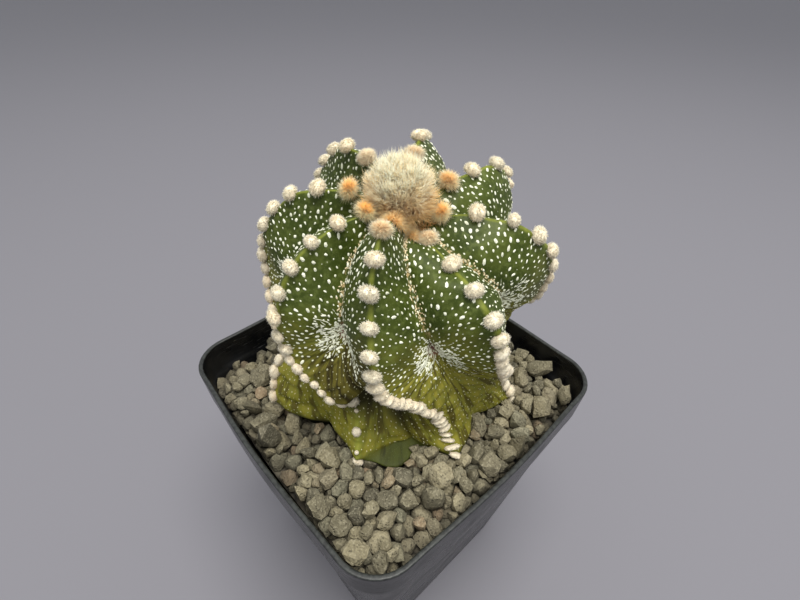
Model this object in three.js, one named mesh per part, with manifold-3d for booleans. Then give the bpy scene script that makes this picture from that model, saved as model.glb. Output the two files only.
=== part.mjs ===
// A star cactus (an eight-ribbed Astrophytum) growing in a square nursery pot.
//
// Units are millimetres and +Z is up. The origin is the middle of the pot's underside, and the pot's
// sides run along X and Y. The plant leans towards its front, which faces the pot's +X -Y corner.
//
// Pieces: the pot, the potting mix, the bed of grit, the loose stones on top of the bed, the stem
// (one grown piece with its ribs, woolly cushions and root) and the woolly bud on its crown.

import * as THREE from 'three'
import { ConvexGeometry } from 'three/addons/geometries/ConvexGeometry.js'
import { mergeVertices } from 'three/addons/utils/BufferGeometryUtils.js'
import Module from 'manifold-3d'

const wasm = await Module()
wasm.setup()

// ---------------------------------------------------------------- driving dimensions

const GAP = 0.3                // clearance between pieces that touch
const WALL_GAP = 0.6           // clearance between the pot's sloping wall and what fills it

const POT_SIDE = 89            // across the rim at the corners
const POT_HEIGHT = 88
const POT_BASE_SIDE = 62
const POT_CORNER = 11.4        // corner radius at the rim
const POT_BASE_CORNER = 8
const POT_BOW = 1.3            // how far each side bulges outwards at the rim
const POT_WALL = 1.3
const POT_FLOOR = 1.8
const COLLAR_HEIGHT = 10.7     // the wide band below the rim
const COLLAR_STEP = 1.1        // how far the wall below the collar is set in
const COLLAR_DRAFT = 0.8       // how far the collar's lower edge is inside its upper one
const POT_LIP = 0.35           // how much the rim's two edges are eased
const DRAIN_RADIUS = 4
const DRAIN_OFFSET = 16        // the four drain holes' distance from the middle, along X and Y

const GRIT_LEVEL = POT_HEIGHT - 8          // mean level of the stones' tops
const BED_TOP = GRIT_LEVEL - 4.7
const MIX_TOP = BED_TOP - 14

const PLANT_TURN = 48                      // the plant's right-hand side, in degrees from +X
const PLANT_FOOT = [-3.5, 5.3]             // where the stem's axis meets the grit
const LEAN_FORWARD = [-2, 15]              // degrees of lean at the grit and at LEAN_HEIGHT
const LEAN_RIGHT = [4, -2]
const LEAN_HEIGHT = 60

const ROOT_TOP_RADIUS = 15
const ROOT_TIP_RADIUS = 7
const ROOT_DEPTH = 34
const ROOT_OVERLAP = 3                     // how far it runs up into the stem

const BUD_RADIUS = 8.2
const BUD_HEIGHT = 66                      // height of the bud's centre on the stem's axis

const CUSHION_SIZE = [2.5, 1.9, 1.7]       // half width, half length along the crest, half height
const CUSHION_PITCH = 6.4                  // from one cushion to the next along a crest
const CUSHION_SPAN = [0.06, 0.84]          // where along a crest they begin and end, 0 to 1
const CUSHION_LEAD = 0.4                   // how much of a pitch comes before the first one

// The crest of a rib from the crown to the grit: radius and height at even steps.
const CREST = [[4, 61.5], [13, 64], [20, 63.5], [27, 60.5], [35, 50.5], [36.5, 36], [34.5, 26],
  [32.5, 15.5], [36, 0]]
// The valley between two ribs, at the same steps. It is pinched where the steps come close.
const VALLEY = [[2.5, 58.5], [7, 59], [12.5, 58], [19, 54.5], [25.5, 48.5], [27, 41.5],
  [27.5, 34.5], [29.5, 17], [29.5, 0]]
// How far the crests and the valleys are turned about the axis, in degrees, at the same steps.
const CREST_TWIST = [0, 0, 0, 0, 3, 7, 20, 33, 42]
const VALLEY_TWIST = [-9, -9, -9, -5, 1, 5, 11, 27, 41]

const STEM_TUCK = 0.95         // the size of the stem's foot, of its size at the grit's surface
const PINCH = 0.6              // where along its length the valley is pinched
const SHOULDER_SWELL = 1.0     // how far the faces bulge above the pinch
const FOOT_SWELL = 0.6         // and below it

// One row for each rib: its direction in degrees, its size, how far its shoulder is raised, and how
// much deeper the valley after it is near the grit.
const RIBS = [
  { angle: -10, scale: 1.045, lift: -2.5, hollow: 1 },
  { angle: 36, scale: 1.11, lift: -1.8, hollow: 2 },
  { angle: 79, scale: 1.01, lift: 1.1, hollow: 1 },
  { angle: 130, scale: 1.01, lift: 3.3, hollow: 2 },
  { angle: 169, scale: 1.04, lift: 0.5, hollow: 1 },
  { angle: 214, scale: 1.015, lift: 1.5, hollow: 4 },
  { angle: 256, scale: 1.0, lift: 6.3, hollow: 0 },
  { angle: 303, scale: 0.98, lift: -4.9, hollow: 1 },
]

// Stones worth a place of their own: x, y, length, width, height, and the turn of the long side.
const PLACED_STONES = [
  [-6.5, -36.2, 11, 7.5, 6.5, 20],
  [11, -36.5, 11, 9.5, 6.5, 75],
  [35.8, -1.5, 9.5, 5.5, 5, 60],
  [35, -12, 8.5, 4.2, 6.5, 95],
  [33.5, 37, 12, 7, 6, -35],
]
const STONE_COUNT = 52
const STONE_SIZE = [5.2, 8.4]              // shortest and longest of the other stones
const STONE_MARGIN = 1                     // between the stones and the pot's wall
const STONE_TRIES = 60000                  // the stones shrink over the first third of the tries

// ---------------------------------------------------------------- helpers

const radians = THREE.MathUtils.degToRad
const mix = THREE.MathUtils.lerp

// A repeatable stream of numbers between 0 and 1.
function randomStream(seed) {
  let state = seed
  return () => {
    state = (state * 1664525 + 1013904223) % 4294967296
    return state / 4294967296
  }
}

// A smooth curve through evenly spaced values, read at t from 0 to 1.
function smoothAt(values, t) {
  const x = THREE.MathUtils.clamp(t, 0, 1) * (values.length - 1)
  const i = Math.min(Math.floor(x), values.length - 2)
  const w = x - i
  const before = values[Math.max(i - 1, 0)]
  const after = values[Math.min(i + 2, values.length - 1)]
  const slope0 = (values[i + 1] - before) / 2
  const slope1 = (after - values[i]) / 2
  const step = values[i + 1] - values[i]
  const cubic = slope0 + slope1 - 2 * step
  const square = 3 * step - 2 * slope0 - slope1
  return values[i] + w * (slope0 + w * (square + w * cubic))
}

function geometryFrom(positions, triangles) {
  const geometry = new THREE.BufferGeometry()
  geometry.setAttribute('position', new THREE.Float32BufferAttribute(positions, 3))
  geometry.setIndex(triangles)
  return geometry
}

// A closed body through a stack of rings with the same number of points each, counter-clockwise
// seen from above where the rings rise. The first and last rings are closed with fans.
function loft(rings) {
  const n = rings[0].length
  const lastStart = (rings.length - 1) * n
  const positions = rings.flat().flatMap((p) => [p.x, p.y, p.z])
  const triangles = []
  for (let j = 0; j < rings.length - 1; j++) {
    for (let i = 0; i < n; i++) {
      const a = j * n + i
      const b = j * n + (i + 1) % n
      triangles.push(a, b, b + n, a, b + n, a + n)
    }
  }
  for (const [ring, start] of [[rings[0], 0], [rings.at(-1), lastStart]]) {
    const middle = new THREE.Vector3()
    ring.forEach((p) => middle.addScaledVector(p, 1 / n))
    const centre = positions.length / 3
    positions.push(middle.x, middle.y, middle.z)
    for (let i = 0; i < n; i++) {
      const a = start + i
      const b = start + (i + 1) % n
      if (start === 0) triangles.push(centre, b, a)
      else triangles.push(centre, a, b)
    }
  }
  return geometryFrom(positions, triangles)
}

// A closed geometry as a solid that can be joined and cut.
function solid(geometry) {
  const bare = geometry.clone()
  bare.deleteAttribute('normal')
  bare.deleteAttribute('uv')
  const merged = mergeVertices(bare, 1e-5)
  const vertProperties = Float32Array.from(merged.attributes.position.array)
  const triVerts = Uint32Array.from(merged.index.array)
  return new wasm.Manifold(new wasm.Mesh({ numProp: 3, vertProperties, triVerts }))
}

function geometryOf(manifold) {
  const mesh = manifold.getMesh()
  return geometryFrom(Array.from(mesh.vertProperties), Array.from(mesh.triVerts))
}

function material(color, roughness, metalness = 0) {
  return new THREE.MeshStandardMaterial({ color, roughness, metalness })
}

function named(name, geometry, look) {
  geometry.computeVertexNormals()
  const mesh = new THREE.Mesh(geometry, look)
  mesh.name = name
  return mesh
}

// ---------------------------------------------------------------- pot

// A square with rounded corners and slightly bulging sides, at height z.
function squareRing(half, corner, bow, z, sideSteps = 4, cornerSteps = 5) {
  const reach = half - corner
  const ring = []
  for (let side = 0; side < 4; side++) {
    const out = new THREE.Vector2(1, 0).rotateAround(new THREE.Vector2(), side * Math.PI / 2)
    const along = new THREE.Vector2(-out.y, out.x)
    const push = (a, b) => ring.push(new THREE.Vector3(
      out.x * a + along.x * b, out.y * a + along.y * b, z))
    for (let i = 0; i < sideSteps; i++) {
      const u = -1 + 2 * i / sideSteps
      push(half + bow * (1 - u * u), u * reach)
    }
    for (let i = 0; i < cornerSteps; i++) {
      const turn = Math.PI / 2 * i / cornerSteps
      push(reach + corner * Math.cos(turn), reach + corner * Math.sin(turn))
    }
  }
  return ring
}

// The wall's outer outline below the collar, moved inwards by inset.
function wallRing(z, inset) {
  const collarFoot = POT_HEIGHT - COLLAR_HEIGHT
  const k = z / collarFoot
  const top = POT_SIDE / 2 - COLLAR_DRAFT - COLLAR_STEP
  const half = mix(POT_BASE_SIDE / 2, top, k) - inset
  const corner = mix(POT_BASE_CORNER, POT_CORNER - COLLAR_STEP, k) - inset
  return squareRing(half, corner, POT_BOW * k, z)
}

// The collar's outer outline, moved inwards by inset.
function collarRing(z, inset) {
  const half = POT_SIDE / 2 - COLLAR_DRAFT * (POT_HEIGHT - z) / COLLAR_HEIGHT - inset
  return squareRing(half, POT_CORNER - inset, POT_BOW, z)
}

function makePot() {
  const collarFoot = POT_HEIGHT - COLLAR_HEIGHT
  const rings = [
    wallRing(0, 1),
    wallRing(1, 0),
    wallRing(collarFoot, 0),
    collarRing(collarFoot + 0.3, 0),
    collarRing(POT_HEIGHT - POT_LIP, 0),
    collarRing(POT_HEIGHT, POT_LIP),
    collarRing(POT_HEIGHT, POT_WALL - POT_LIP),
    collarRing(POT_HEIGHT - POT_LIP, POT_WALL),
    collarRing(collarFoot + POT_WALL, POT_WALL),
    wallRing(collarFoot, POT_WALL),
    wallRing(POT_FLOOR, POT_WALL),
  ]
  let pot = solid(loft(rings))
  for (const [x, y] of [[1, 0], [0, 1], [-1, 0], [0, -1]]) {
    const drain = new THREE.CylinderGeometry(DRAIN_RADIUS, DRAIN_RADIUS, 3 * POT_FLOOR, 16)
    drain.rotateX(Math.PI / 2)
    drain.translate(x * DRAIN_OFFSET, y * DRAIN_OFFSET, POT_FLOOR / 2)
    pot = pot.subtract(solid(drain))
  }
  return geometryOf(pot)
}

// ---------------------------------------------------------------- plant

// The plant is built upright in its own frame: +Z up from the grit, its right-hand side along +X
// and its front along -Y. The lean then bends it as a whole, more and more with height.
function leaning(p) {
  const k = p.z / LEAN_HEIGHT
  const forward = radians(mix(LEAN_FORWARD[0], LEAN_FORWARD[1], k))
  const right = radians(mix(LEAN_RIGHT[0], LEAN_RIGHT[1], k))
  const shiftForward = radians(LEAN_FORWARD[0] + (LEAN_FORWARD[1] - LEAN_FORWARD[0]) * k / 2) * p.z
  const shiftRight = radians(LEAN_RIGHT[0] + (LEAN_RIGHT[1] - LEAN_RIGHT[0]) * k / 2) * p.z
  return new THREE.Vector3(
    p.x * Math.cos(right) + p.y * Math.sin(forward) * Math.sin(right) + shiftRight,
    p.y * Math.cos(forward) - shiftForward,
    p.z - p.x * Math.sin(right) + p.y * Math.sin(forward) * Math.cos(right))
}

function lifted(rib, t) {
  return RIBS[rib].lift * THREE.MathUtils.clamp(2 - 4 * t, 0, 1)
}

// A point on a crest, as angle, radius and height. t runs from the crown, 0, to the grit, 1.
function crestAt(rib, t) {
  return {
    angle: RIBS[rib].angle + smoothAt(CREST_TWIST, t),
    radius: smoothAt(CREST.map((c) => c[0]), t) * RIBS[rib].scale,
    height: smoothAt(CREST.map((c) => c[1]), t) + lifted(rib, t),
  }
}

// A point on the valley that follows rib, counter-clockwise.
function valleyAt(rib, t) {
  const next = (rib + 1) % RIBS.length
  const turn = (RIBS[next].angle - RIBS[rib].angle + 360) % 360
  const size = (RIBS[rib].scale + RIBS[next].scale) / 2
  const hollow = RIBS[rib].hollow * THREE.MathUtils.smoothstep(t, 0.75, 0.9)
  return {
    angle: RIBS[rib].angle + turn / 2 + smoothAt(VALLEY_TWIST, t),
    radius: smoothAt(VALLEY.map((v) => v[0]), t) * size - hollow,
    height: smoothAt(VALLEY.map((v) => v[1]), t) + (lifted(rib, t) + lifted(next, t)) / 4,
  }
}

function onStem(place) {
  const turn = radians(place.angle)
  return new THREE.Vector3(
    place.radius * Math.cos(turn), place.radius * Math.sin(turn), place.height)
}

// A point between a crest (u = 0) and a valley (u = 1). The face swells near the crown and at the
// foot, and is drawn in at the pinch.
function faceAt(crest, valley, u, t) {
  const swell = SHOULDER_SWELL * Math.sin(Math.PI * Math.min(t / PINCH, 1))
    + FOOT_SWELL * THREE.MathUtils.smoothstep(t, PINCH, 0.85)
  const arch = 4 * u * (1 - u)
  let turn = valley.angle - crest.angle
  turn -= 360 * Math.round(turn / 360)
  return onStem({
    angle: crest.angle + turn * u,
    radius: mix(crest.radius, valley.radius, u) + swell * arch,
    height: mix(crest.height, valley.height, u) + 0.4 * swell * arch,
  })
}

function stemRing(t) {
  const ring = []
  for (let rib = 0; rib < RIBS.length; rib++) {
    const crest = crestAt(rib, t)
    const before = valleyAt((rib + RIBS.length - 1) % RIBS.length, t)
    const after = valleyAt(rib, t)
    for (const u of [1, 0.55, 0.07]) ring.push(faceAt(crest, before, u, t))
    for (const u of [0.07, 0.55]) ring.push(faceAt(crest, after, u, t))
  }
  return ring
}

// The stem's body, from its foot on the bed of grit up to the crown.
function stemBody() {
  const rows = 22
  const foot = BED_TOP + GAP - GRIT_LEVEL
  const rings = [stemRing(1).map((p) => new THREE.Vector3(p.x * STEM_TUCK, p.y * STEM_TUCK, foot))]
  for (let j = 0; j <= rows; j++) rings.push(stemRing(1 - j / rows).map(leaning))
  return solid(loft(rings))
}

// A root that tapers down through the bed of grit into the potting mix.
function rootBody(grow = 0) {
  const top = BED_TOP + ROOT_OVERLAP - GRIT_LEVEL
  const bottom = BED_TOP - ROOT_DEPTH - GRIT_LEVEL
  const root = new THREE.CylinderGeometry(
    ROOT_TOP_RADIUS + grow, ROOT_TIP_RADIUS + grow, top - bottom + grow, 20)
  root.rotateX(Math.PI / 2)
  root.translate(0, 0, (top + bottom - grow) / 2)
  return solid(root)
}

// The woolly cushions that sit along each crest.
function cushions() {
  const shapes = []
  const [halfWidth, halfLength, halfHeight] = CUSHION_SIZE
  for (let rib = 0; rib < RIBS.length; rib++) {
    let travelled = CUSHION_PITCH * (1 - CUSHION_LEAD)
    let last = leaning(onStem(crestAt(rib, CUSHION_SPAN[0])))
    const steps = 160
    for (let i = 1; i <= steps; i++) {
      const t = mix(CUSHION_SPAN[0], CUSHION_SPAN[1], i / steps)
      const here = leaning(onStem(crestAt(rib, t)))
      travelled += here.distanceTo(last)
      const along = here.clone().sub(last).normalize()
      last = here
      if (travelled < CUSHION_PITCH) continue
      travelled -= CUSHION_PITCH
      const inner = leaning(onStem({ ...crestAt(rib, t), radius: 0 }))
      const outward = here.clone().sub(inner)
      outward.addScaledVector(along, -outward.dot(along)).normalize()
      const across = new THREE.Vector3().crossVectors(outward, along)
      const dome = new THREE.OctahedronGeometry(1, 1)
      dome.applyMatrix4(new THREE.Matrix4()
        .makeBasis(across, outward, along)
        .scale(new THREE.Vector3(halfWidth, halfHeight, halfLength)))
      dome.translate(here.x, here.y, here.z)
      shapes.push(solid(dome))
    }
  }
  return shapes
}

function budShape(grow = 0) {
  const bud = new THREE.IcosahedronGeometry(BUD_RADIUS + grow, 3)
  const centre = leaning(new THREE.Vector3(0, 0, BUD_HEIGHT))
  bud.translate(centre.x, centre.y, centre.z)
  return bud
}

function makeStem() {
  let stem = stemBody().add(rootBody())
  for (const cushion of cushions()) stem = stem.add(cushion)
  return geometryOf(stem.subtract(solid(budShape(GAP))))
}

// ---------------------------------------------------------------- what fills the pot

// A block that fills the pot from low to high, clear of its wall, with a socket for the root.
function fillingBlock(low, high) {
  const inset = POT_WALL + WALL_GAP
  const rings = [wallRing(low, inset), wallRing(high, inset)]
  const socket = rootBody(GAP).translate(PLANT_FOOT[0], PLANT_FOOT[1], GRIT_LEVEL)
  return geometryOf(solid(loft(rings)).subtract(socket))
}

// ---------------------------------------------------------------- loose stones

// A rough pebble: the convex hull of points spread in a spiral over a box-like egg.
function stoneShape(length, width, height, random) {
  const count = 15
  const spiralTurn = 2.4
  const boxiness = 0.25
  const points = []
  for (let i = 0; i < count; i++) {
    const z = 1 - 2 * (i + 0.5) / count
    const turn = i * spiralTurn + random() * 0.8
    const side = Math.sqrt(1 - z * z)
    const p = new THREE.Vector3(side * Math.cos(turn), side * Math.sin(turn), z)
    const longest = Math.max(Math.abs(p.x), Math.abs(p.y), Math.abs(p.z))
    const bulk = mix(0.77, 0.89, random())
    p.multiplyScalar(bulk * (1 - boxiness + boxiness / longest))
    points.push(p.multiply(new THREE.Vector3(length / 2, width / 2, height / 2)))
  }
  return new ConvexGeometry(points)
}

// The stem's outline near the grit, as angles and distances from its axis.
const stemOutline = [0.9, 0.95, 1].flatMap((t) => stemRing(t).map(leaning)).map((p) => ({
  angle: THREE.MathUtils.radToDeg(Math.atan2(p.y, p.x)), reach: Math.hypot(p.x, p.y) }))

// How far from the stem's axis the stem reaches in a direction, in the plant's own frame.
function stemReach(angle) {
  const near = stemOutline.filter((q) => {
    const off = angle - q.angle
    return Math.abs(off - 360 * Math.round(off / 360)) < 9
  })
  return Math.max(...near.map((q) => q.reach))
}

// True where a stone of this radius lies between the stem and the pot's wall.
function isFree(x, y, radius, taken) {
  const wall = POT_SIDE / 2 - COLLAR_STEP - COLLAR_DRAFT - POT_WALL - STONE_MARGIN
  if (Math.max(Math.abs(x), Math.abs(y)) + radius > wall) return false
  const corner = wall - POT_CORNER
  const overX = Math.abs(x) - corner
  const overY = Math.abs(y) - corner
  if (overX > 0 && overY > 0 && Math.hypot(overX, overY) + radius > POT_CORNER) return false
  const dx = x - PLANT_FOOT[0]
  const dy = y - PLANT_FOOT[1]
  const angle = THREE.MathUtils.radToDeg(Math.atan2(dy, dx)) - PLANT_TURN
  if (Math.hypot(dx, dy) < stemReach(angle) + radius) return false
  return taken.every((s) => Math.hypot(x - s.x, y - s.y) > radius + s.radius + GAP)
}

// The placed stones first, then as many others as find room.
function stonePlaces(random) {
  const places = PLACED_STONES.map(([x, y, length, width, height, turn]) => (
    { x, y, length, width, height, turn, radius: (length + width) / 4 }))
  for (let tries = 0; places.length < STONE_COUNT && tries < STONE_TRIES; tries++) {
    const shrink = Math.min(1, 3 * tries / STONE_TRIES + random() * 0.3)
    const length = mix(STONE_SIZE[1], STONE_SIZE[0], shrink)
    const place = {
      x: (random() - 0.5) * POT_SIDE,
      y: (random() - 0.5) * POT_SIDE,
      length,
      width: length * mix(0.75, 0.95, random()),
      height: length * mix(0.6, 0.75, random()),
      turn: random() * 180,
      radius: length * 0.46,
    }
    if (isFree(place.x, place.y, place.radius, places)) places.push(place)
  }
  return places
}

function makeStones(looks) {
  const random = randomStream(7)
  return stonePlaces(random).map((place, i) => {
    const shape = stoneShape(place.length, place.width, place.height, random)
    shape.rotateZ(radians(place.turn))
    shape.computeBoundingBox()
    shape.translate(place.x, place.y, BED_TOP + GAP - shape.boundingBox.min.z)
    const name = `stone_${String(i + 1).padStart(2, '0')}`
    return named(name, geometryOf(solid(shape)), looks[i % looks.length])
  })
}

// ---------------------------------------------------------------- the whole object

const plastic = material(0x17191b, 0.42)
const soil = material(0x3a2c20, 0.95)
const grit = material(0x8d8570, 0.9)
const flesh = material(0x4d6a2c, 0.55)
const wool = material(0xd9ccb0, 1)
const stoneLooks = [material(0x958d78, 0.9), material(0xa59a83, 0.9), material(0x7f8070, 0.9)]

const plant = new THREE.Group()
plant.position.set(PLANT_FOOT[0], PLANT_FOOT[1], GRIT_LEVEL)
plant.rotation.z = radians(PLANT_TURN)
plant.add(named('stem', makeStem(), flesh))
plant.add(named('woolly_bud', budShape(), wool))

const group = new THREE.Group()
group.add(named('pot', makePot(), plastic))
group.add(named('potting_mix', fillingBlock(POT_FLOOR + GAP, MIX_TOP), soil))
group.add(named('grit_bed', fillingBlock(MIX_TOP + GAP, BED_TOP), grit))
group.add(plant)
for (const stone of makeStones(stoneLooks)) group.add(stone)

export default group
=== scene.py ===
# %% [markdown]
# # A star cactus in its square pot
#
# The finished thing is a young star cactus: eight sharp ribs with a row of woolly cushions along each
# crest, a skin sprinkled with white flecks, and a furry bud on the crown. It grows in a black
# nursery pot that is topped with loose, angular grit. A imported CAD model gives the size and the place
# of every part. This lesson rebuilds each part with the shape and finish of the real one, without
# moving anything.

import bmesh
import bpy
import numpy as np
from mathutils import Matrix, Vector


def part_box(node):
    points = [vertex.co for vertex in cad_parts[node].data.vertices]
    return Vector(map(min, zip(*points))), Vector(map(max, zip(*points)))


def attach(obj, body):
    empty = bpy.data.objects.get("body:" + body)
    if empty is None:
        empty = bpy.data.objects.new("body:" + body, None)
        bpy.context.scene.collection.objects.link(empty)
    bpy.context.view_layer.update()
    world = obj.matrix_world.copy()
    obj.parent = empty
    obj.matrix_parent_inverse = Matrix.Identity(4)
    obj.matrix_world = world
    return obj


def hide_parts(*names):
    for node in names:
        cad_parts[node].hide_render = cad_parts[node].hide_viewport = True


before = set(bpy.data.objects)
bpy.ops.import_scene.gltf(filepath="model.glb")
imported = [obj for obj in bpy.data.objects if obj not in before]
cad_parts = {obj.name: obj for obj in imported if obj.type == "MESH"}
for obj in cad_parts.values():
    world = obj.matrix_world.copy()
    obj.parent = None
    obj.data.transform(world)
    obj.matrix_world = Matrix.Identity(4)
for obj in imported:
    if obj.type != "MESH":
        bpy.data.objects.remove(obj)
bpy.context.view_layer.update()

# %% [markdown]
# ## Helpers for meshes
#
# Blender works in metres, but a plant in a pot is easier to think about in millimetres. So every
# shape below is worked out in millimetres as a numpy array of points, and it becomes metres only when
# its mesh is made. `foreach_set` hands a whole array to Blender at once, which is far quicker than
# adding points one by one.

# %% Make a piece from points and faces
MM = 0.001


def make_piece(name, points, faces, slot, smooth=True, **marks):
    """A mesh object from points in millimetres and a list of face arrays of 3 or 4 corners.

    Each mark is one number for each point, which a material can read by name."""
    sizes = np.concatenate([np.full(len(block), block.shape[1]) for block in faces])
    corners = np.concatenate([block.ravel() for block in faces])
    mesh = bpy.data.meshes.new(name)
    mesh.vertices.add(len(points))
    mesh.vertices.foreach_set("co", (points * MM).astype(np.float32).ravel())
    mesh.loops.add(len(corners))
    mesh.loops.foreach_set("vertex_index", corners.astype(np.int32))
    mesh.polygons.add(len(sizes))
    mesh.polygons.foreach_set("loop_start", (np.cumsum(sizes) - sizes).astype(np.int32))
    mesh.polygons.foreach_set("use_smooth", np.full(len(sizes), smooth))
    mesh.update(calc_edges=True)
    for mark, values in marks.items():
        store = mesh.attributes.new(mark, "FLOAT", "POINT")
        store.data.foreach_set("value", np.asarray(values, np.float32).ravel())
    piece = bpy.data.objects.new(name, mesh)
    bpy.context.scene.collection.objects.link(piece)
    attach(piece, "root")
    print(f"{name}: {(sizes - 2).sum()} triangles")
    return piece


def paint(piece, material):
    """Gives a piece this material and no other."""
    piece.data.materials.clear()
    piece.data.materials.append(material)


# %% Faces for a grid, for the closed ends and for many copies
def grid_faces(rows, columns):
    """Four-cornered faces between the neighbours of a grid whose last column meets its first."""
    here = np.arange(rows * columns).reshape(rows, columns)
    beside = np.roll(here, -1, axis=1)
    return np.stack([here[:-1], beside[:-1], beside[1:], here[1:]], axis=-1).reshape(-1, 4)


def fan_faces(ring, centre):
    """Triangles from each side of a ring of points to one point in its middle."""
    return np.stack([np.full(len(ring), centre), ring, np.roll(ring, -1)], axis=-1)


def closed_grid(rows, columns, rising=False):
    """A grid's faces and the two fans that close it. Its two end points are stored after it."""
    ends = rows * columns
    faces = [grid_faces(rows, columns), fan_faces(np.arange(columns), ends)[:, ::-1],
             fan_faces(np.arange(ends - columns, ends), ends + 1)]
    return faces if rising else [block[:, ::-1] for block in faces]


def copies(faces, count, size):
    """The same faces for count shapes of size points each, stored one after the other."""
    shift = size * np.arange(count)[:, None, None]
    return (faces[None] + shift).reshape(-1, faces.shape[1])


def ball(rows, columns):
    """Directions all round a ball, as rows of latitude between two poles, and its faces."""
    latitude = np.linspace(0, np.pi, rows + 1)[1:-1, None]
    longitude = np.linspace(0, 2 * np.pi, columns, endpoint=False)[None]
    rings = np.stack([np.sin(latitude) * np.cos(longitude), np.sin(latitude) * np.sin(longitude),
                      np.cos(latitude) + 0 * longitude], axis=-1).reshape(-1, 3)
    return np.vstack([rings, [[0, 0, 1], [0, 0, -1]]]), closed_grid(rows - 1, columns)


# %% [markdown]
# Nothing on a plant is exact. Two helpers give the irregularity: `ripple` is a smooth random height
# made of sine waves that run in random directions, and `ease` is the usual S-shaped step, which fades
# one thing into another. Both work on whole arrays. All random numbers come from seeded generators, so
# the plant is the same each time.

# %% Smooth steps and ripples
def ease(low, high, x):
    """0 below low, 1 above high, and 3x^2 - 2x^3 of the way between them."""
    x = np.clip((x - low) / (high - low), 0, 1)
    return x * x * (3 - 2 * x)


def ripple(points, size, seed, waves=20):
    """A smooth random height, mostly within -2 to 2: the sum of waves about size long."""
    random = np.random.default_rng(seed)
    heading = random.normal(size=(points.shape[-1], waves))
    heading /= np.linalg.norm(heading, axis=0)
    turns = heading * 2 * np.pi / (size * random.uniform(0.7, 1.6, waves))
    phase = random.uniform(0, 2 * np.pi, waves)
    return np.sin(points @ turns + phase).sum(axis=-1) * np.sqrt(2 / waves)


def unit(vectors):
    """The same directions with length 1."""
    return vectors / np.linalg.norm(vectors, axis=-1, keepdims=True)


# %% [markdown]
# ## The camera, the floor and the light
#
# The pot is seen from close by and from above, across one of its corners. A wide lens this near makes
# the front corner of the pot loom, and that perspective is a large part of the likeness. The camera is
# placed by an azimuth, an elevation and a distance from a point at the level of the rim.

# %% Place the camera
rim_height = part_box("pot")[1].z / MM

AZIMUTH = 47.07
ELEVATION = 38.2
ROLL = 1.4
DISTANCE = 159.75
AIM = np.array([-22.28, 23.57, rim_height])
LENS = 20.06
NEAREST = 0.01


def stand(name, data, axes, place):
    """Adds an object whose x, y and z axes run along these three directions, at a place in metres."""
    thing = bpy.data.objects.new(name, data)
    matrix = np.eye(4)
    matrix[:3, :3] = np.stack(axes, axis=1)
    matrix[:3, 3] = place
    thing.matrix_world = Matrix(matrix.tolist())
    bpy.context.scene.collection.objects.link(thing)
    print(name, "at", np.round(np.array(place) / MM, 1).tolist(), "mm")
    return thing


azimuth, elevation, roll = np.radians([AZIMUTH, ELEVATION, ROLL])
back = np.array([np.sin(azimuth) * np.cos(elevation),
                 -np.cos(azimuth) * np.cos(elevation),
                 np.sin(elevation)])
level_right = unit(np.cross(-back, [0, 0, 1]))
level_up = np.cross(level_right, -back)
right = level_right * np.cos(roll) + level_up * np.sin(roll)
up = level_up * np.cos(roll) - level_right * np.sin(roll)

camera = stand("camera", bpy.data.cameras.new("camera"), [right, up, back], (AIM + DISTANCE * back) * MM)
camera.data.lens = LENS
camera.data.sensor_width = 36
camera.data.clip_start = NEAREST
bpy.context.scene.camera = camera

# %% [markdown]
# The light is that of a bright room: one large soft lamp above the plant, a little nearer to the camera,
# and an even glow from all round. The lamp leaves a soft shadow round the pot and keeps the undersides
# of the ribs dark, which shows their shape.

# %% Light the scene
LAMP_PLACE = (0.25, -0.06, 1.2)
LAMP_AIM = (0, 0, 0.1)
LAMP_SIZE = 0.80
LAMP_POWER = 16.5
LAMP_COLOUR = (1.0, 0.97, 0.92)
GLOW = (0.97, 0.98, 1.0)
GLOW_STRENGTH = 0.68

lamp_back = unit(np.array(LAMP_PLACE) - LAMP_AIM)
lamp_right = unit(np.cross([0, 1, 0], lamp_back))
lamp = stand("lamp", bpy.data.lights.new("lamp", "AREA"),
             [lamp_right, np.cross(lamp_back, lamp_right), lamp_back], LAMP_PLACE)
lamp.data.shape = "DISK"
lamp.data.size = LAMP_SIZE
lamp.data.energy = LAMP_POWER
lamp.data.color = LAMP_COLOUR

world = bpy.data.worlds.new("room")
world.use_nodes = True
world.node_tree.nodes["Background"].inputs["Color"].default_value = (*GLOW, 1)
world.node_tree.nodes["Background"].inputs["Strength"].default_value = GLOW_STRENGTH
bpy.context.scene.world = world
bpy.context.scene.view_settings.view_transform = "Standard"

# %% [markdown]
# ## Writing materials as sums
#
# A material is a graph of nodes, and adding nodes by hand takes a line for each node and each wire.
# `Signal` wraps one output socket and knows how to add, subtract and multiply, so shader maths can be
# written as `0.4 + 0.2 * grain`. `Finish` holds the graph of one material. Its method `node` adds any
# node: the type, its settings, then the values or wires of its sockets. Most colours here are built up
# like paint: `coats` lays one colour over another, each through a mask.

# %% Signals and finishes
class Signal:
    """One output of a node. Arithmetic on it adds Math nodes."""

    def __init__(self, finish, socket):
        self.finish = finish
        self.socket = socket

    def math(self, operation, first, second):
        return self.finish.node("ShaderNodeMath", {"operation": operation}, {0: first, 1: second})

    def __add__(self, other):
        return self.math("ADD", self, other)

    def __mul__(self, other):
        return self.math("MULTIPLY", self, other)

    def __sub__(self, other):
        return self.math("SUBTRACT", self, other)

    def __rsub__(self, other):
        return self.math("SUBTRACT", other, self)

    __radd__ = __add__
    __rmul__ = __mul__

    def rise(self, low, high):
        """An S-shaped step from 0 at low to 1 at high."""
        return self.finish.node("ShaderNodeMapRange", {"interpolation_type": "SMOOTHSTEP"},
                                {"Value": self, "From Min": low, "From Max": high})


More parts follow.
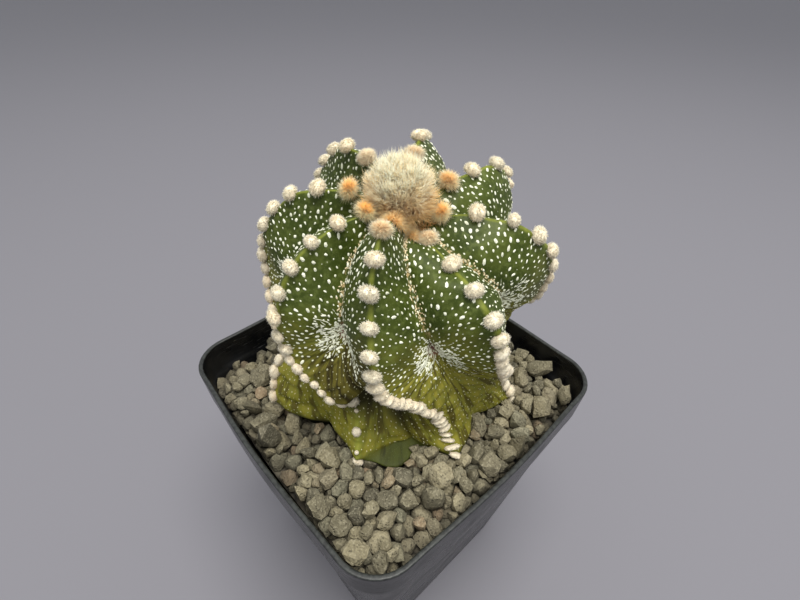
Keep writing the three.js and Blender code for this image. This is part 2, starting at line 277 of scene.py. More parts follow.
def set_stops(ramp, stops):
    """Gives a colour ramp these stops, each a position and a colour."""
    while len(ramp.elements) < len(stops):
        ramp.elements.new(0.5)
    for element, (position, colour) in zip(ramp.elements, stops):
        element.position = position
        element.color = (*colour, 1)


class Finish:
    """One material, made by adding nodes. Sizes are in millimetres."""

    def __init__(self, name):
        self.material = bpy.data.materials.new(name)
        self.material.use_nodes = True
        self.tree = self.material.node_tree
        self.tree.nodes.clear()
        self.place = self.node("ShaderNodeTexCoord", {}, {}, "Object")

    def node(self, kind, settings, sockets, output=0):
        """Adds a node, sets its settings or a ramp's stops, then its sockets' values or wires."""
        made = self.tree.nodes.new(kind)
        for key, value in settings.items():
            if key == "stops":
                set_stops(made.color_ramp, value)
            else:
                setattr(made, key, value)
        for key, value in sockets.items():
            if isinstance(value, Signal):
                self.tree.links.new(value.socket, made.inputs[key])
            else:
                made.inputs[key].default_value = value
        return Signal(self, made.outputs[output])

    def marked(self, *names):
        """The numbers that a piece's points were marked with, one signal for each name."""
        found = [self.node("ShaderNodeAttribute", {"attribute_name": name}, {}, "Fac") for name in names]
        return found if len(names) > 1 else found[0]

    def height(self):
        """Height above the ground, in metres."""
        return self.node("ShaderNodeSeparateXYZ", {}, {0: self.place}, "Z")

    def noise(self, size, detail=2.0, place=None):
        """Cloudy noise from 0 to 1 whose patches are about size across."""
        sockets = {"Vector": place or self.place, "Scale": 1 / (size * MM), "Detail": detail}
        return self.node("ShaderNodeTexNoise", {}, sockets, "Fac")

    def cells(self, size):
        """The distance from the nearest of scattered points about size apart: 0 to about 1."""
        sockets = {"Vector": self.place, "Scale": 1 / (size * MM)}
        return self.node("ShaderNodeTexVoronoi", {}, sockets, "Distance")

    def blend(self, mask, first, second):
        """The first colour where mask is 0 and the second where it is 1."""
        first, second = (c if isinstance(c, Signal) else (*c, 1) for c in (first, second))
        return self.node("ShaderNodeMix", {"data_type": "RGBA"}, {0: mask, 6: first, 7: second}, 2)

    def coats(self, colour, *coats):
        """A colour under coats of paint, each given as its mask and its own colour."""
        for mask, coat in coats:
            colour = self.blend(mask, colour, coat)
        return colour

    def done(self, colour, roughness, relief=None, **constants):
        """Joins everything to the surface. relief is a height in millimetres."""
        sockets = {"Base Color": colour, "Roughness": roughness}
        if relief is not None:
            sockets["Normal"] = self.node("ShaderNodeBump", {}, {"Height": relief, "Distance": MM})
        for name, value in constants.items():
            sockets[name.replace("_", " ")] = value
        surface = self.node("ShaderNodeBsdfPrincipled", {}, sockets)
        output = self.tree.nodes.new("ShaderNodeOutputMaterial")
        self.tree.links.new(surface.socket, output.inputs["Surface"])
        print("finish:", self.material.name, len(self.tree.nodes), "nodes")
        return self.material


# %% Lay the floor
FLOOR_HALF = 6000
FLOOR_COLOUR = (0.200, 0.198, 0.222, 1)

floor_points = FLOOR_HALF * MM * np.array([[-1, -1, 0], [1, -1, 0], [1, 1, 0], [-1, 1, 0]])
floor_mesh = bpy.data.meshes.new("floor")
floor_mesh.from_pydata(floor_points.tolist(), [], [[0, 1, 2, 3]])
floor = bpy.data.objects.new("floor", floor_mesh)
bpy.context.scene.collection.objects.link(floor)
paint(floor, Finish("pale_paper").done(FLOOR_COLOUR, 0.9))

# %% [markdown]
# ## The pot
#
# A nursery pot like this one is moulded in one go from thin black plastic: a tapering square body with
# rounded corners, slightly bulging sides, a deep collar at the top that stands a millimetre proud, and
# a thin rolled lip. The whole pot is one profile carried round a rounded square. Going round, `along`
# runs over each side and `turn` over each corner; going up, each row of the profile has its own half
# width, corner radius and bulge. Outside and inside are one closed skin.

# %% A rounded square that bulges
def square_rings(half, corner, bow, height, side_steps=14, corner_steps=10):
    """Rings of a rounded square, one for each row of the given arrays.

    On a side the ring is at half + bow (1 - v^2)^1.5 from the middle, v running from -1 to 1, and on a
    corner it is an arc of the corner radius. Both are one formula with v held at 1 on the corner."""
    v = np.concatenate([np.linspace(-1, 1, side_steps, endpoint=False), np.ones(corner_steps)])
    turn = np.concatenate([np.zeros(side_steps), np.linspace(0, np.pi / 2, corner_steps, False)])
    half, corner, bow, height = (np.asarray(x, float)[:, None] for x in (half, corner, bow, height))
    reach = half - corner
    out = reach + corner * np.cos(turn) + bow * np.clip(1 - v * v, 0, None) ** 1.5
    along = reach * v + corner * np.sin(turn)
    quarters = np.arange(4) * np.pi / 2
    cos, sin = np.cos(quarters)[None, :, None], np.sin(quarters)[None, :, None]
    x = out[:, None] * cos - along[:, None] * sin
    y = out[:, None] * sin + along[:, None] * cos
    z = height[:, :, None] + 0 * x
    return np.stack([x, y, z], axis=-1).reshape(len(half), -1, 3)


# %% The pot's driving sizes and its profile
RIM_HALF = 44.5
BASE_HALF = 31
RIM_CORNER = 11.4
BASE_CORNER = 8
BOW = 1.3
WALL = 1.3
FLOOR_THICKNESS = 1.8
COLLAR_HEIGHT = 10.7
COLLAR_STEP = 1.1
COLLAR_DRAFT = 0.8
FOOT_ROUND = 1.0
STEP_ROUND = 0.35
LIP_ROUND = 0.42
collar_foot = rim_height - COLLAR_HEIGHT


def wall_row(height, inset):
    """Half width, corner radius, bulge and height of the tapering wall, moved in by inset."""
    share = height / collar_foot
    half = BASE_HALF + (RIM_HALF - COLLAR_DRAFT - COLLAR_STEP - BASE_HALF) * share
    corner = BASE_CORNER + (RIM_CORNER - COLLAR_STEP - BASE_CORNER) * share
    return half - inset, corner - inset, BOW * share, height


def collar_row(height, inset):
    """The same for the collar."""
    half = RIM_HALF - COLLAR_DRAFT * (rim_height - height) / COLLAR_HEIGHT
    return half - inset, RIM_CORNER - inset, BOW, height


def rounded_edge(row, height, inset, radius, start, end, count):
    """Rows of the profile along an arc round this height and inset, between two angles in degrees."""
    angles = np.radians(np.linspace(start, end, count))
    return [row(height + radius * np.sin(angle), inset + radius * np.cos(angle)) for angle in angles]


profile = [wall_row(0, FOOT_ROUND + 5)]
profile += rounded_edge(wall_row, FOOT_ROUND, FOOT_ROUND, FOOT_ROUND, 270, 180, 5)
profile += [wall_row(h, 0) for h in np.linspace(4, collar_foot - 0.4, 9)]
profile += [wall_row(collar_foot, 0.15)]
profile += rounded_edge(collar_row, collar_foot + STEP_ROUND, STEP_ROUND, STEP_ROUND, 270, 180, 4)
profile += [collar_row(h, 0) for h in np.linspace(collar_foot + 1.5, rim_height - 1.2, 4)]
profile += rounded_edge(collar_row, rim_height - LIP_ROUND, LIP_ROUND, LIP_ROUND, 180, 90, 6)
profile += rounded_edge(collar_row, rim_height - LIP_ROUND, WALL - LIP_ROUND, LIP_ROUND, 90, 0, 6)
profile += [collar_row(h, WALL) for h in (rim_height - 2, rim_height - 5, collar_foot + 2.1)]
profile += [collar_row(collar_foot + 1.6, WALL + 0.25)]
profile += [wall_row(collar_foot + 0.9, WALL - 0.1), wall_row(collar_foot, WALL)]
profile += [wall_row(h, WALL) for h in np.linspace(collar_foot - 6, FLOOR_THICKNESS + 2, 5)]
profile += [wall_row(FLOOR_THICKNESS + 0.5, WALL + 0.15), wall_row(FLOOR_THICKNESS, WALL + 0.7)]
pot_rings = square_rings(*np.array(profile).T)
print("pot profile:", len(profile), "rows of", pot_rings.shape[1])

# %% [markdown]
# The two ends of the profile are closed with fans, the underside at the bottom and the floor inside.
# The four drain holes are cut with a Boolean modifier, because a hole in a flat floor is what a grid of
# rows does worst. Its result is kept as the mesh, so nothing live is left on the pot. Where a corner of
# a hole falls exactly on an edge of a fan, the cut leaves two points in one place, so they are merged.

# %% Close the pot and cut its drain holes
DRAIN_RADIUS = 4
DRAIN_OFFSET = 16
DRAIN_SIDES = 24
SAME_PLACE = 0.001


def drain_cutter():
    """Four upright pins through the floor, as one object."""
    mesh = bmesh.new()
    for x, y in ((1, 0), (0, 1), (-1, 0), (0, -1)):
        place = Matrix.Translation((DRAIN_OFFSET * MM * x, DRAIN_OFFSET * MM * y, 0))
        bmesh.ops.create_cone(mesh, cap_ends=True, segments=DRAIN_SIDES, radius1=DRAIN_RADIUS * MM,
                              radius2=DRAIN_RADIUS * MM, depth=4 * FLOOR_THICKNESS * MM, matrix=place)
    shape = bpy.data.meshes.new("drains")
    mesh.to_mesh(shape)
    mesh.free()
    cutter = bpy.data.objects.new("drains", shape)
    bpy.context.scene.collection.objects.link(cutter)
    return cutter


def cut_away(piece, cutter):
    """Replaces a piece's mesh by what is left of it after the cutter has been taken away."""
    cut = piece.modifiers.new("cut", "BOOLEAN")
    cut.operation = "DIFFERENCE"
    cut.solver = "EXACT"
    cut.object = cutter
    shape = bpy.data.meshes.new_from_object(piece.evaluated_get(bpy.context.evaluated_depsgraph_get()))
    mesh = bmesh.new()
    mesh.from_mesh(shape)
    bmesh.ops.remove_doubles(mesh, verts=mesh.verts, dist=SAME_PLACE * MM)
    print(piece.name, "has", sum(not edge.is_manifold for edge in mesh.edges), "open edges")
    mesh.to_mesh(shape)
    mesh.free()
    piece.modifiers.clear()
    piece.data = shape
    bpy.data.objects.remove(cutter)


pot_points = np.vstack([pot_rings.reshape(-1, 3), [[0, 0, 0], [0, 0, FLOOR_THICKNESS]]])
pot = make_piece("nursery_pot", pot_points, closed_grid(*pot_rings.shape[:2], True), "pot_plastic")
cut_away(pot, drain_cutter())
pot.data.set_sharp_from_angle(angle=np.radians(40))
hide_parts("pot")

# %% [markdown]
# The plastic is black, but it doesn't look black: a satin surface seen at a shallow angle mirrors the
# pale room, so the collar reads as grey. Handling has left long faint scratches and a greyish bloom. The
# top of the lip is painted paler and slightly greenish, partly as wear where pots are stacked and rubbed
# and partly as a painted highlight along the rim's top edge.

# %% Finish the pot
def black_plastic():
    finish = Finish("black_plastic")
    # The top of the lip is painted paler: partly wear, partly a painted highlight along the rim's top
    # edge.
    lip = finish.height().rise((rim_height - 0.5) * MM, (rim_height - 0.05) * MM)
    stretched = finish.node("ShaderNodeVectorMath", {"operation": "MULTIPLY"},
                            {0: finish.place, 1: (0.12, 0.12, 1.6)})
    scratches = finish.noise(0.5, 3, stretched).rise(0.60, 0.72)
    bloom = finish.noise(9, 4).rise(0.45, 0.75)
    wear = finish.noise(1.1, 3).rise(0.35, 0.65)
    colour = finish.coats((0.003, 0.0033, 0.004),
                          (bloom * 0.5, (0.013, 0.014, 0.0155)),
                          (scratches * 0.35, (0.06, 0.06, 0.058)),
                          (lip * (0.35 + 0.65 * wear), (0.034, 0.038, 0.035)))
    roughness = 0.27 + 0.10 * bloom + 0.16 * scratches + 0.12 * lip
    relief = 0.035 * finish.noise(2.2, 3) + 0.012 * finish.noise(0.35, 2) - 0.02 * scratches
    return finish.done(colour, roughness, relief, IOR=1.5, Specular_IOR_Level=0.4)


paint(pot, black_plastic())

# %% [markdown]
# ## What fills the pot
#
# Below the loose stones lie a bed of the same grit and, deeper, the potting mix. Their CAD shapes are
# right as they are: blocks that fill the pot and hug the root. They only need a finish. Both are made
# of crumbs, so both use scattered cells for the crumbs, one colour noise and a strong relief. The edges
# between the crumbs are painted dark as painted shade, and the bed is coloured much darker than the
# loose stones, as painted shade where it shows between them.

# %% Finish the grit bed and the potting mix
def crumbs(name, size, dark, light):
    """A mass of crumbs of the given size: cells raised in the middle, with two mixed colours, and the
    edges between the cells painted dark as painted shade.
    """
    finish = Finish(name)
    cell = finish.cells(size)
    tone = finish.noise(size * 1.4, 3).rise(0.3, 0.7)
    # The edges between crumbs are painted dark: painted shade.
    colour = finish.coats(dark, (tone, light), (cell.rise(0.35, 0.75), tuple(0.15 * c for c in dark)))
    relief = size * (0.5 - 0.45 * cell) + 0.1 * finish.noise(0.5, 3)
    return finish.done(colour, 0.95, relief)


for node, finish_name, crumb, dark, light in (
        # The grit bed is coloured darker than the loose stones: painted shade where the bed shows between
        # them.
        ("grit_bed", "grit_crumbs_in_painted_shade", 3.2, (0.035, 0.031, 0.022), (0.11, 0.097, 0.070)),
        ("potting_mix", "potting_crumbs", 1.6, (0.018, 0.012, 0.008), (0.075, 0.05, 0.032))):
    paint(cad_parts[node], crumbs(finish_name, crumb, dark, light))

# %% [markdown]
# ## The stem
#
# The stem is one surface of two parameters. `t` runs down each rib from the crown, 0, to the grit, 1.
# `side` runs across a rib: 0 on its crest, 1 in the valley after it and -1 in the valley before. The
# crests and valleys are smooth curves through a few points, given as radius and height, and they turn
# about the axis on their way down, because this plant has twisted as it grew. Between crest and valley
# the face is a straight mix of the two with a slight swelling.

# %% The stem's driving curves
BED_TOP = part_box("grit_bed")[1].z / MM
GRIT_LEVEL = BED_TOP + 4.7
PLANT_FOOT = np.array([-3.5, 5.3, GRIT_LEVEL])
PLANT_TURN = np.radians(48)
LEAN_FORWARD = (-2, 15)
LEAN_RIGHT = (4, -2)
LEAN_HEIGHT = 60

# radius and height at even steps of t
CREST = np.array([[4, 61.5], [13, 64], [20, 63.5], [27, 60.5], [35, 50.5], [36.5, 36], [34.5, 26],
                  [32.5, 15.5], [36, 0]])
VALLEY = np.array([[2.5, 58.5], [7, 59], [12.5, 58], [19, 54.5], [25.5, 48.5], [27, 41.5],
                   [27.5, 34.5], [29.5, 17], [29.5, 0]])
# how far crests and valleys are turned about the axis, in degrees, at the same steps
CREST_TWIST = np.array([0, 0, 0, 0, 3, 7, 20, 33, 42])
VALLEY_TWIST = np.array([-9, -9, -9, -5, 1, 5, 11, 27, 41])

# direction in degrees, size, lift of the shoulder, and how hollow the valley after it is at the foot
RIBS = np.array([[-10, 0.992, -3.5, 0], [37, 1.057, -3.1, 1], [79, 1.01, 1.1, 1], [130, 0.997, 1.8, 1],
                 [170, 1.008, -0.5, -1.5], [214, 0.99, 0.5, 0], [255, 0.947, 6.4, -1],
                 [302, 0.958, -5.8, 0]])
# each rib's toe: how far it sticks out, how far it turns, and the t where it begins
TOES = np.array([[2, 0, 0.90], [2, 0, 0.90], [2, 2, 0.91], [2, 0, 0.92],
                 [4, -4, 0.84], [2.9, -1.5, 0.93], [3.3, 0, 0.93], [2.5, 0, 0.91]])
LEFT_RIB = 5
FRONT_RIB = 6
RIGHT_RIB = 7


def smooth_at(values, t):
    """A curve through evenly spaced values, read at t from 0 to 1: on each span a cubic that leaves
    and arrives with half the step between the neighbours on either side."""
    x = np.clip(t, 0, 1) * (len(values) - 1)
    i = np.minimum(x.astype(int), len(values) - 2)
    w = x - i
    before, here, after, later = (values[np.clip(i + k, 0, len(values) - 1)] for k in (-1, 0, 1, 2))
    leave, arrive, step = (after - before) / 2, (later - here) / 2, after - here
    return here + w * (leave + w * (3 * step - 2 * leave - arrive + w * (leave + arrive - 2 * step)))


def crest_at(rib, t):
    """Angle in degrees, radius and height of a rib's crest."""
    angle, size, lift, _ = np.moveaxis(RIBS[rib], -1, 0)
    reach, turn, begin = np.moveaxis(TOES[rib], -1, 0)
    raised = lift * np.clip(2 - 4 * t, 0, 1) * (1 - 0.65 * (rib == FRONT_RIB) * (1 - ease(0.08, 0.23, t)))
    toe = ease(begin, begin + 0.06, t)
    radius = smooth_at(CREST[:, 0], t) * size + reach * toe
    return angle + smooth_at(CREST_TWIST, t) + turn * toe, radius, smooth_at(CREST[:, 1], t) + raised


def valley_at(rib, t):
    """The same for the valley after a rib, halfway to the next one."""
    angle, size, lift, hollow = np.moveaxis(RIBS[rib], -1, 0)
    next_angle, next_size, next_lift, _ = np.moveaxis(RIBS[(rib + 1) % len(RIBS)], -1, 0)
    halfway = angle + ((next_angle - angle) % 360) / 2
    radius = smooth_at(VALLEY[:, 0], t) * (size + next_size) / 2 - hollow * ease(0.75, 0.9, t)
    raised = (lift + next_lift) / 4 * np.clip(2 - 4 * t, 0, 1)
    return halfway + smooth_at(VALLEY_TWIST, t), radius, smooth_at(VALLEY[:, 1], t) + raised


# %% [markdown]
# ### The cushions' places
#
# The cushions of wool sit along each crest. Near the crown they are 7 or 8 mm apart, and lower down,
# where the old stem has shrunk, they are pushed together until they touch. So their places are found
# by walking down the crest and counting: each step adds its length divided by the spacing there, and
# a cushion sits wherever the count reaches a whole number. Only the front rib's upper cushions and the
# few on the left rib's toe, which keep no such rhythm, are placed one by one.

# %% Count the cushions down each crest
WALK = np.linspace(0.045, 0.985, 400)
# for each rib: t of its first cushion, the wide pitch in mm, and the t where crowding begins and ends
CUSHION_RULES = np.array([[0.073, 7.9, 0.33, 0.60], [0.116, 8.2, 0.33, 0.60], [0.118, 8.4, 0.33, 0.60],
                          [0.138, 7.2, 0.33, 0.60], [0.124, 7.0, 0.35, 0.60], [0.089, 6.7, 0.52, 0.66],
                          [0.230, 7.0, 0.47, 0.66], [0.088, 8.4, 0.33, 0.64]])
CLOSE_PITCH = np.array([4.0, 4.0, 4.0, 4.0, 4.2, 3.1, 2.25, 3.2])
# where the front rib's upper cushions sit
FRONT_TOP = np.array([0.230, 0.303, 0.387, 0.452, 0.499, 0.552, 0.587])
# below its fold the left rib has cushions of its own: t and size
LEFT_TOE = np.array([[0.853, 1.0], [0.885, 0.35], [0.92, 0.85], [0.955, 0.35], [0.987, 1.0]])


def cushion_pitch(rib, t):
    """The spacing of cushions in mm, which shrinks down the rib."""
    _, wide, begin, end = CUSHION_RULES[rib]
    return wide + (CLOSE_PITCH[rib] - wide) * ease(begin, end, t)


def count_cushions(rib):
    """How many cushions lie above each step of WALK, so that the first one's place counts 1."""
    angle, radius, height = crest_at(np.full(len(WALK), rib), WALK)
    angle = np.radians(angle)
    line = np.stack([radius * np.cos(angle), radius * np.sin(angle), height], axis=-1)
    lengths = np.linalg.norm(np.diff(line, axis=0), axis=-1)
    share = lengths / cushion_pitch(rib, (WALK[1:] + WALK[:-1]) / 2)
    counts = np.concatenate([[0], np.cumsum(share)])
    return counts - np.interp(CUSHION_RULES[rib, 0], WALK, counts) + 1


cushion_counts = np.array([count_cushions(rib) for rib in range(len(RIBS))])
cushion_t = [np.interp(np.arange(0.999, counts[-1]), counts, WALK) for counts in cushion_counts]
cushion_t[LEFT_RIB] = np.concatenate([cushion_t[LEFT_RIB][cushion_t[LEFT_RIB] < 0.83], LEFT_TOE[:, 0]])
cushion_t[FRONT_RIB] = np.concatenate([FRONT_TOP, cushion_t[FRONT_RIB][cushion_t[FRONT_RIB] > 0.605]])
print("cushions on each rib:", [len(places) for places in cushion_t])

# %% [markdown]
# ### Pinches, folds and creases
#
# On the smooth surface come the marks of the plant's life. Each valley is pinched into a small dimple
# at about two thirds of the way down. From there fine creases fan out to the crests. At the front left
# the swollen upper body bellies out and hangs over the shrunken old foot like a lip. Below it two toes
# reach forward with a groove between them, and under their ridge bulges the oldest part of the foot.
# Elsewhere the skin curves in under a blunt edge, and each crest dips a little at each cushion. All of
# these only move the skin in or out, so they are added to the radius. Some also return a number from 0
# to 1 that colours the skin later: the gap under the lip, painted dark as painted shade, the skin above
# it, painted brown and dark partly as bruised skin and partly as painted shade, and the groove.

# %% The skin as a function of rib, side and t
CREST_ROUND = 0.045
TOE_HOLLOW = 2.4
VALLEY_SHIFT = 5
SHOULDER_SWELL = 0.5
FOOT_SWELL = 0.6
PINCH = 0.6
PINCH_DEPTH = 1.6
# where along its length the valley after each rib is pinched
PINCHES = np.array([0.60, 0.60, 0.60, 0.60, 0.60, 0.61, 0.675, 0.60])
# the lip's t at even steps of w, from the left rib's crest, 0, to the front rib's, 1
LIP = np.array([0.82, 0.82, 0.82, 0.81, 0.81, 0.80, 0.78, 0.74, 0.69, 0.65, 0.62])
SKIN_LUMPS = (0.30, 0.12)
CREASE_HEIGHT = 0.26
CREST_DIP = 0.35
BELLY = 4.2
FOLD_DEPTH = (4.0, 3.5)
RIDGE = 0.968
OLD_FOOT = 4.5
GROOVE = 1.3
TUCK_START = 0.95
TUCK_SHARE = 0.12


def valley_of(rib, side):
    """Which valley lies on this side of a rib. Each valley has the number of the rib before it."""
    return np.where(side < 0, rib - 1, rib) % len(RIBS)


def across_fold(rib, u, side):
    """w: 0 on the left rib's crest, 0.5 in the valley, 1 on the front rib's crest, and 9 far away."""
    after_left, before_left = (rib == LEFT_RIB) & (side >= 0), (rib == LEFT_RIB) & (side < 0)
    before_front = (rib == FRONT_RIB) & (side < 0)
    return np.select([after_left, before_front, before_left], [u / 2, 1 - u / 2, -u / 2], 9.0)


def fold_shift(w, t):
    """How far the fold moves the skin: out by a belly that grows towards the lip, and in below it."""
    inside = np.clip(w, 0, 1)
    middle = np.sin(np.pi * inside).clip(0, 1)
    lip = smooth_at(LIP, inside)
    belly = BELLY * middle ** 1.5 * ease(lip - 0.14, lip - 0.03, t) * (1 - 0.4 * ease(lip - 0.03, lip, t))
    below = ease(lip, lip + 0.018, t)
    depth = (FOLD_DEPTH[0] + FOLD_DEPTH[1] * middle) * ease(-0.3, 0.05, w) * (1 - ease(0.7, 0.95, w))
    return belly * (1 - below) - depth * below * (1 - ease(lip + 0.03, 0.945, t))


def lip_shade(w, t):
    """1 in the gap under the lip, where painted shade darkens the skin, deepest towards the front rib,
    fading away down the foot.
    """
    lip = smooth_at(LIP, np.clip(w, 0, 1))
    along = ease(-0.25, 0.0, w) * (1 - ease(0.85, 1.0, w))
    reach = 0.045 + 0.05 * ease(0.2, 0.6, w)
    return along * ease(lip, lip + 0.008, t) * (1 - ease(lip + reach, lip + 2 * reach, t))


def lip_bruise_and_shade(w, t):
    """1 on the skin just above the lip, painted brown and dark partly as bruised skin and partly as
    painted shade where the face turns under, fading away up the face.
    """
    lip = smooth_at(LIP, np.clip(w, 0, 1))
    along = ease(0.0, 0.12, w) * (1 - ease(0.9, 0.99, w))
    return along * ease(lip - 0.24, lip - 0.05, t) * (t < lip + 0.004)


def old_foot(w):
    """1 where the oldest part of the foot shows below the ridge, between the two front toes."""
    return np.sin(np.pi * np.clip(w / 0.75, 0, 1)).clip(0, 1) ** 1.2 * (1 - 0.4 * ease(0.3, 0.6, w))


def foot_groove(w, t):
    """1 along the groove between the left toe and the front rib's underside."""
    return np.exp(-((w - 0.5) / 0.03) ** 2) * ease(0.83, 0.87, t) * (1 - ease(0.955, 0.97, t))


def crest_dips(rib, u, t):
    """The crest sinks a little at each cushion and rises between them, as a cosine of the count."""
    count = np.zeros_like(t)
    for number, counts in enumerate(cushion_counts):
        count = np.where(rib == number, np.interp(t, WALK, counts), count)
    return -CREST_DIP * np.cos(2 * np.pi * count) * np.exp(-(u / 0.12) ** 2) * ease(0.03, 0.1, t)


def upright_skin(rib, side, t):
    """Points of the skin before the plant leans. Angle and height are mixed from crest to valley, and
    so is the radius, but over sqrt(u^2 + e^2) - e instead of u, which rounds the crest."""
    rib = rib % len(RIBS)
    u = np.abs(side)
    angle, radius, height = crest_at(rib, t)
    low_angle, low_radius, low_height = valley_at(valley_of(rib, side), t)
    turn = (low_angle - angle + 180) % 360 - 180
    drop = (np.hypot(u, CREST_ROUND) - CREST_ROUND) / (np.hypot(1, CREST_ROUND) - CREST_ROUND)
    swell = SHOULDER_SWELL * np.sin(np.pi * np.minimum(t / PINCH, 1)) + FOOT_SWELL * ease(PINCH, 0.85, t)
    arch = np.maximum(4 * u * (1 - u), 0)
    toe = ease(0.84, 0.88, t)
    swell = swell - TOE_HOLLOW * (rib == LEFT_RIB) * toe
    in_front = (rib == LEFT_RIB) & (side > 0) | (rib == FRONT_RIB) & (side < 0)
    angle = np.radians(angle + turn * u + VALLEY_SHIFT * in_front * toe * u)
    radius = radius + (low_radius - radius) * drop + swell * arch
    height = height + (low_height - height) * drop + 0.4 * swell * arch
    smooth = np.stack([radius * np.cos(angle), radius * np.sin(angle), height], axis=-1)
    half = rib * 2.0 + (side > 0)
    fan = np.stack([45 * t, 1.3 * u, 9.7 * half], axis=-1)
    creased = ease(0.56, 0.7, t) * (1 - ease(0.93, 0.97, t)) * arch ** 0.6
    dimple = np.exp(-((1 - u) / 0.22) ** 2 - ((t - PINCHES[valley_of(rib, side)]) / 0.05) ** 2)
    w = across_fold(rib, u, side)
    below_ridge = np.exp(-((t - RIDGE - 0.002) / 0.005) ** 2)
    low_bulge = OLD_FOOT * ease(RIDGE + 0.006, RIDGE + 0.026, t) - below_ridge
    moved = (SKIN_LUMPS[0] * ripple(smooth, 15, 3) + SKIN_LUMPS[1] * ripple(smooth, 5, 4)
             + CREASE_HEIGHT * creased * ripple(fan, 1.0, 5) - PINCH_DEPTH * dimple
             + crest_dips(rib, u, t) + fold_shift(w, t) + old_foot(w) * low_bulge
             - GROOVE * foot_groove(w, t))
    tuck = 1 - TUCK_SHARE * np.clip((t - TUCK_START) / (1 - TUCK_START), 0, 1) ** 2 * (1 - old_foot(w))
    reach = ((radius + moved * ease(0, 0.12, t)) * tuck)[..., None]
    flat = np.stack([np.cos(angle), np.sin(angle)], axis=-1)
    return np.concatenate([flat * reach, height[..., None]], axis=-1)


# %% [markdown]
# ### The lean
#
# The plant leans towards its front, and more so with height, as if it were bent. The angles of lean
# grow evenly with height, so the sideways shift is their sum from the grit up. The same function
# also turns the plant and puts it in its place in the pot.

# %% Lean the plant and plant it
def planted(points):
    """Leans points of the upright plant, turns them and moves them to the plant's place."""
    x, y, z = np.moveaxis(points, -1, 0)
    share = z / LEAN_HEIGHT
    forward, sideways = (np.radians(a + (b - a) * share) for a, b in (LEAN_FORWARD, LEAN_RIGHT))
    shift_forward, shift_right = (np.radians(a + (b - a) * share / 2) * z
                                  for a, b in (LEAN_FORWARD, LEAN_RIGHT))
    leant_x = x * np.cos(sideways) + y * np.sin(forward) * np.sin(sideways) + shift_right
    leant_y = y * np.cos(forward) - shift_forward
    leant_z = z - x * np.sin(sideways) + y * np.sin(forward) * np.cos(sideways)
    cos, sin = np.cos(PLANT_TURN), np.sin(PLANT_TURN)
    turned = np.stack([leant_x * cos - leant_y * sin, leant_x * sin + leant_y * cos, leant_z], axis=-1)
    return turned + PLANT_FOOT


BUD_CENTRE = np.mean([np.array(corner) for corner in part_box("woolly_bud")], axis=0) / MM
BUD_RADIUS = 0.46 * (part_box("woolly_bud")[1].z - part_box("woolly_bud")[0].z) / MM
BUD_CORE = 5.4


def skin(rib, side, t):
    """Points of the finished skin, which keeps clear of the bud's core."""
    points = planted(upright_skin(rib, side, t))
    away = points - BUD_CENTRE
    distance = np.linalg.norm(away, axis=-1, keepdims=True)
    return BUD_CENTRE + away * np.maximum(distance, BUD_CORE + 0.2) / distance


def skin_frame(rib, side, t, step=0.004):
    """A point on the skin with its directions across the rib, down the rib and outwards."""
    here = skin(rib, side, t)
    across = unit(skin(rib, side + step, t) - skin(rib, side - step, t))
    down = skin(rib, side, t + step) - skin(rib, side, t - step)
    down = unit(down - across * (down * across).sum(axis=-1, keepdims=True))
    return here, across, down, np.cross(down, across)


pinch_points = skin(np.arange(len(RIBS)), np.ones(len(RIBS)), PINCHES)


def from_pinch(rib, side, points):
    """The way from the pinch of the valley on its side of the rib to each point, in mm."""
    return points - pinch_points[valley_of(rib, side)]


# %% [markdown]
# ### One closed mesh
#
# The grid has 32 columns to a rib, closest together at the crest, and 240 rows. Below the last row come
# the foot, which turns in flat on the bed of grit, and the root, which tapers down into the mix. The
# crown and the root's tip are closed with a point each.

# %% Build the stem
SIDE_STEPS = 16
STEM_ROWS = 240
ROOT_ROWS = 12
FOOT_DROP = 4.4
ROOT_RADII = (14.2, 6.2)
ROOT_DEPTH = 33.2
FACE_WIDTH = 15
CREST_LENGTH = 90

spread = np.linspace(0, 1, SIDE_STEPS, endpoint=False) ** 1.2
column_side = np.tile(np.concatenate([[-1], -spread[:0:-1], spread]), len(RIBS))
column_rib = np.repeat(np.arange(len(RIBS)), 2 * SIDE_STEPS)
columns = len(column_side)
row_t = np.interp(np.linspace(0, 1, STEM_ROWS), [0, 0.42, 1], [0, 0.6, 1])
grid_rib, grid_side, grid_t = np.broadcast_arrays(column_rib, column_side, row_t[:, None])

foot = upright_skin(column_rib, column_side, np.ones(columns))
foot_angle = np.arctan2(foot[:, 1], foot[:, 0])
foot_radius = np.hypot(foot[:, 0], foot[:, 1])
share = np.linspace(0, 1, ROOT_ROWS)[:, None]
wrinkled = 1 + 0.05 * np.sin(7 * foot_angle + 9 * share) + 0.04 * np.sin(13 * foot_angle - 5 * share)
root_radius = (ROOT_RADII[0] + (ROOT_RADII[1] - ROOT_RADII[0]) * share) * wrinkled
low_radius = np.vstack([0.95 * foot_radius, 0.80 * foot_radius, root_radius])
low_height = np.vstack([[[0.3], [0]], -0.4 - ROOT_DEPTH * share]) - FOOT_DROP + 0 * low_radius
below = planted(np.stack([low_radius * np.cos(foot_angle), low_radius * np.sin(foot_angle), low_height],
                         axis=-1))
stem_grid = np.concatenate([skin(grid_rib, grid_side, grid_t), below])
stem_points = np.vstack([stem_grid.reshape(-1, 3), stem_grid[0].mean(axis=0), stem_grid[-1].mean(axis=0)])

rows = len(stem_grid)
all_t = np.concatenate([grid_t.ravel(), np.full(len(below) * columns, 1.05), [0, 1.05]])
all_side = np.concatenate([np.tile(column_side, rows), [0, 0]])
all_rib = np.concatenate([np.tile(column_rib, rows), [0, 0]])
all_valley = valley_of(all_rib, all_side)
all_w = across_fold(all_rib, np.abs(all_side), all_side)
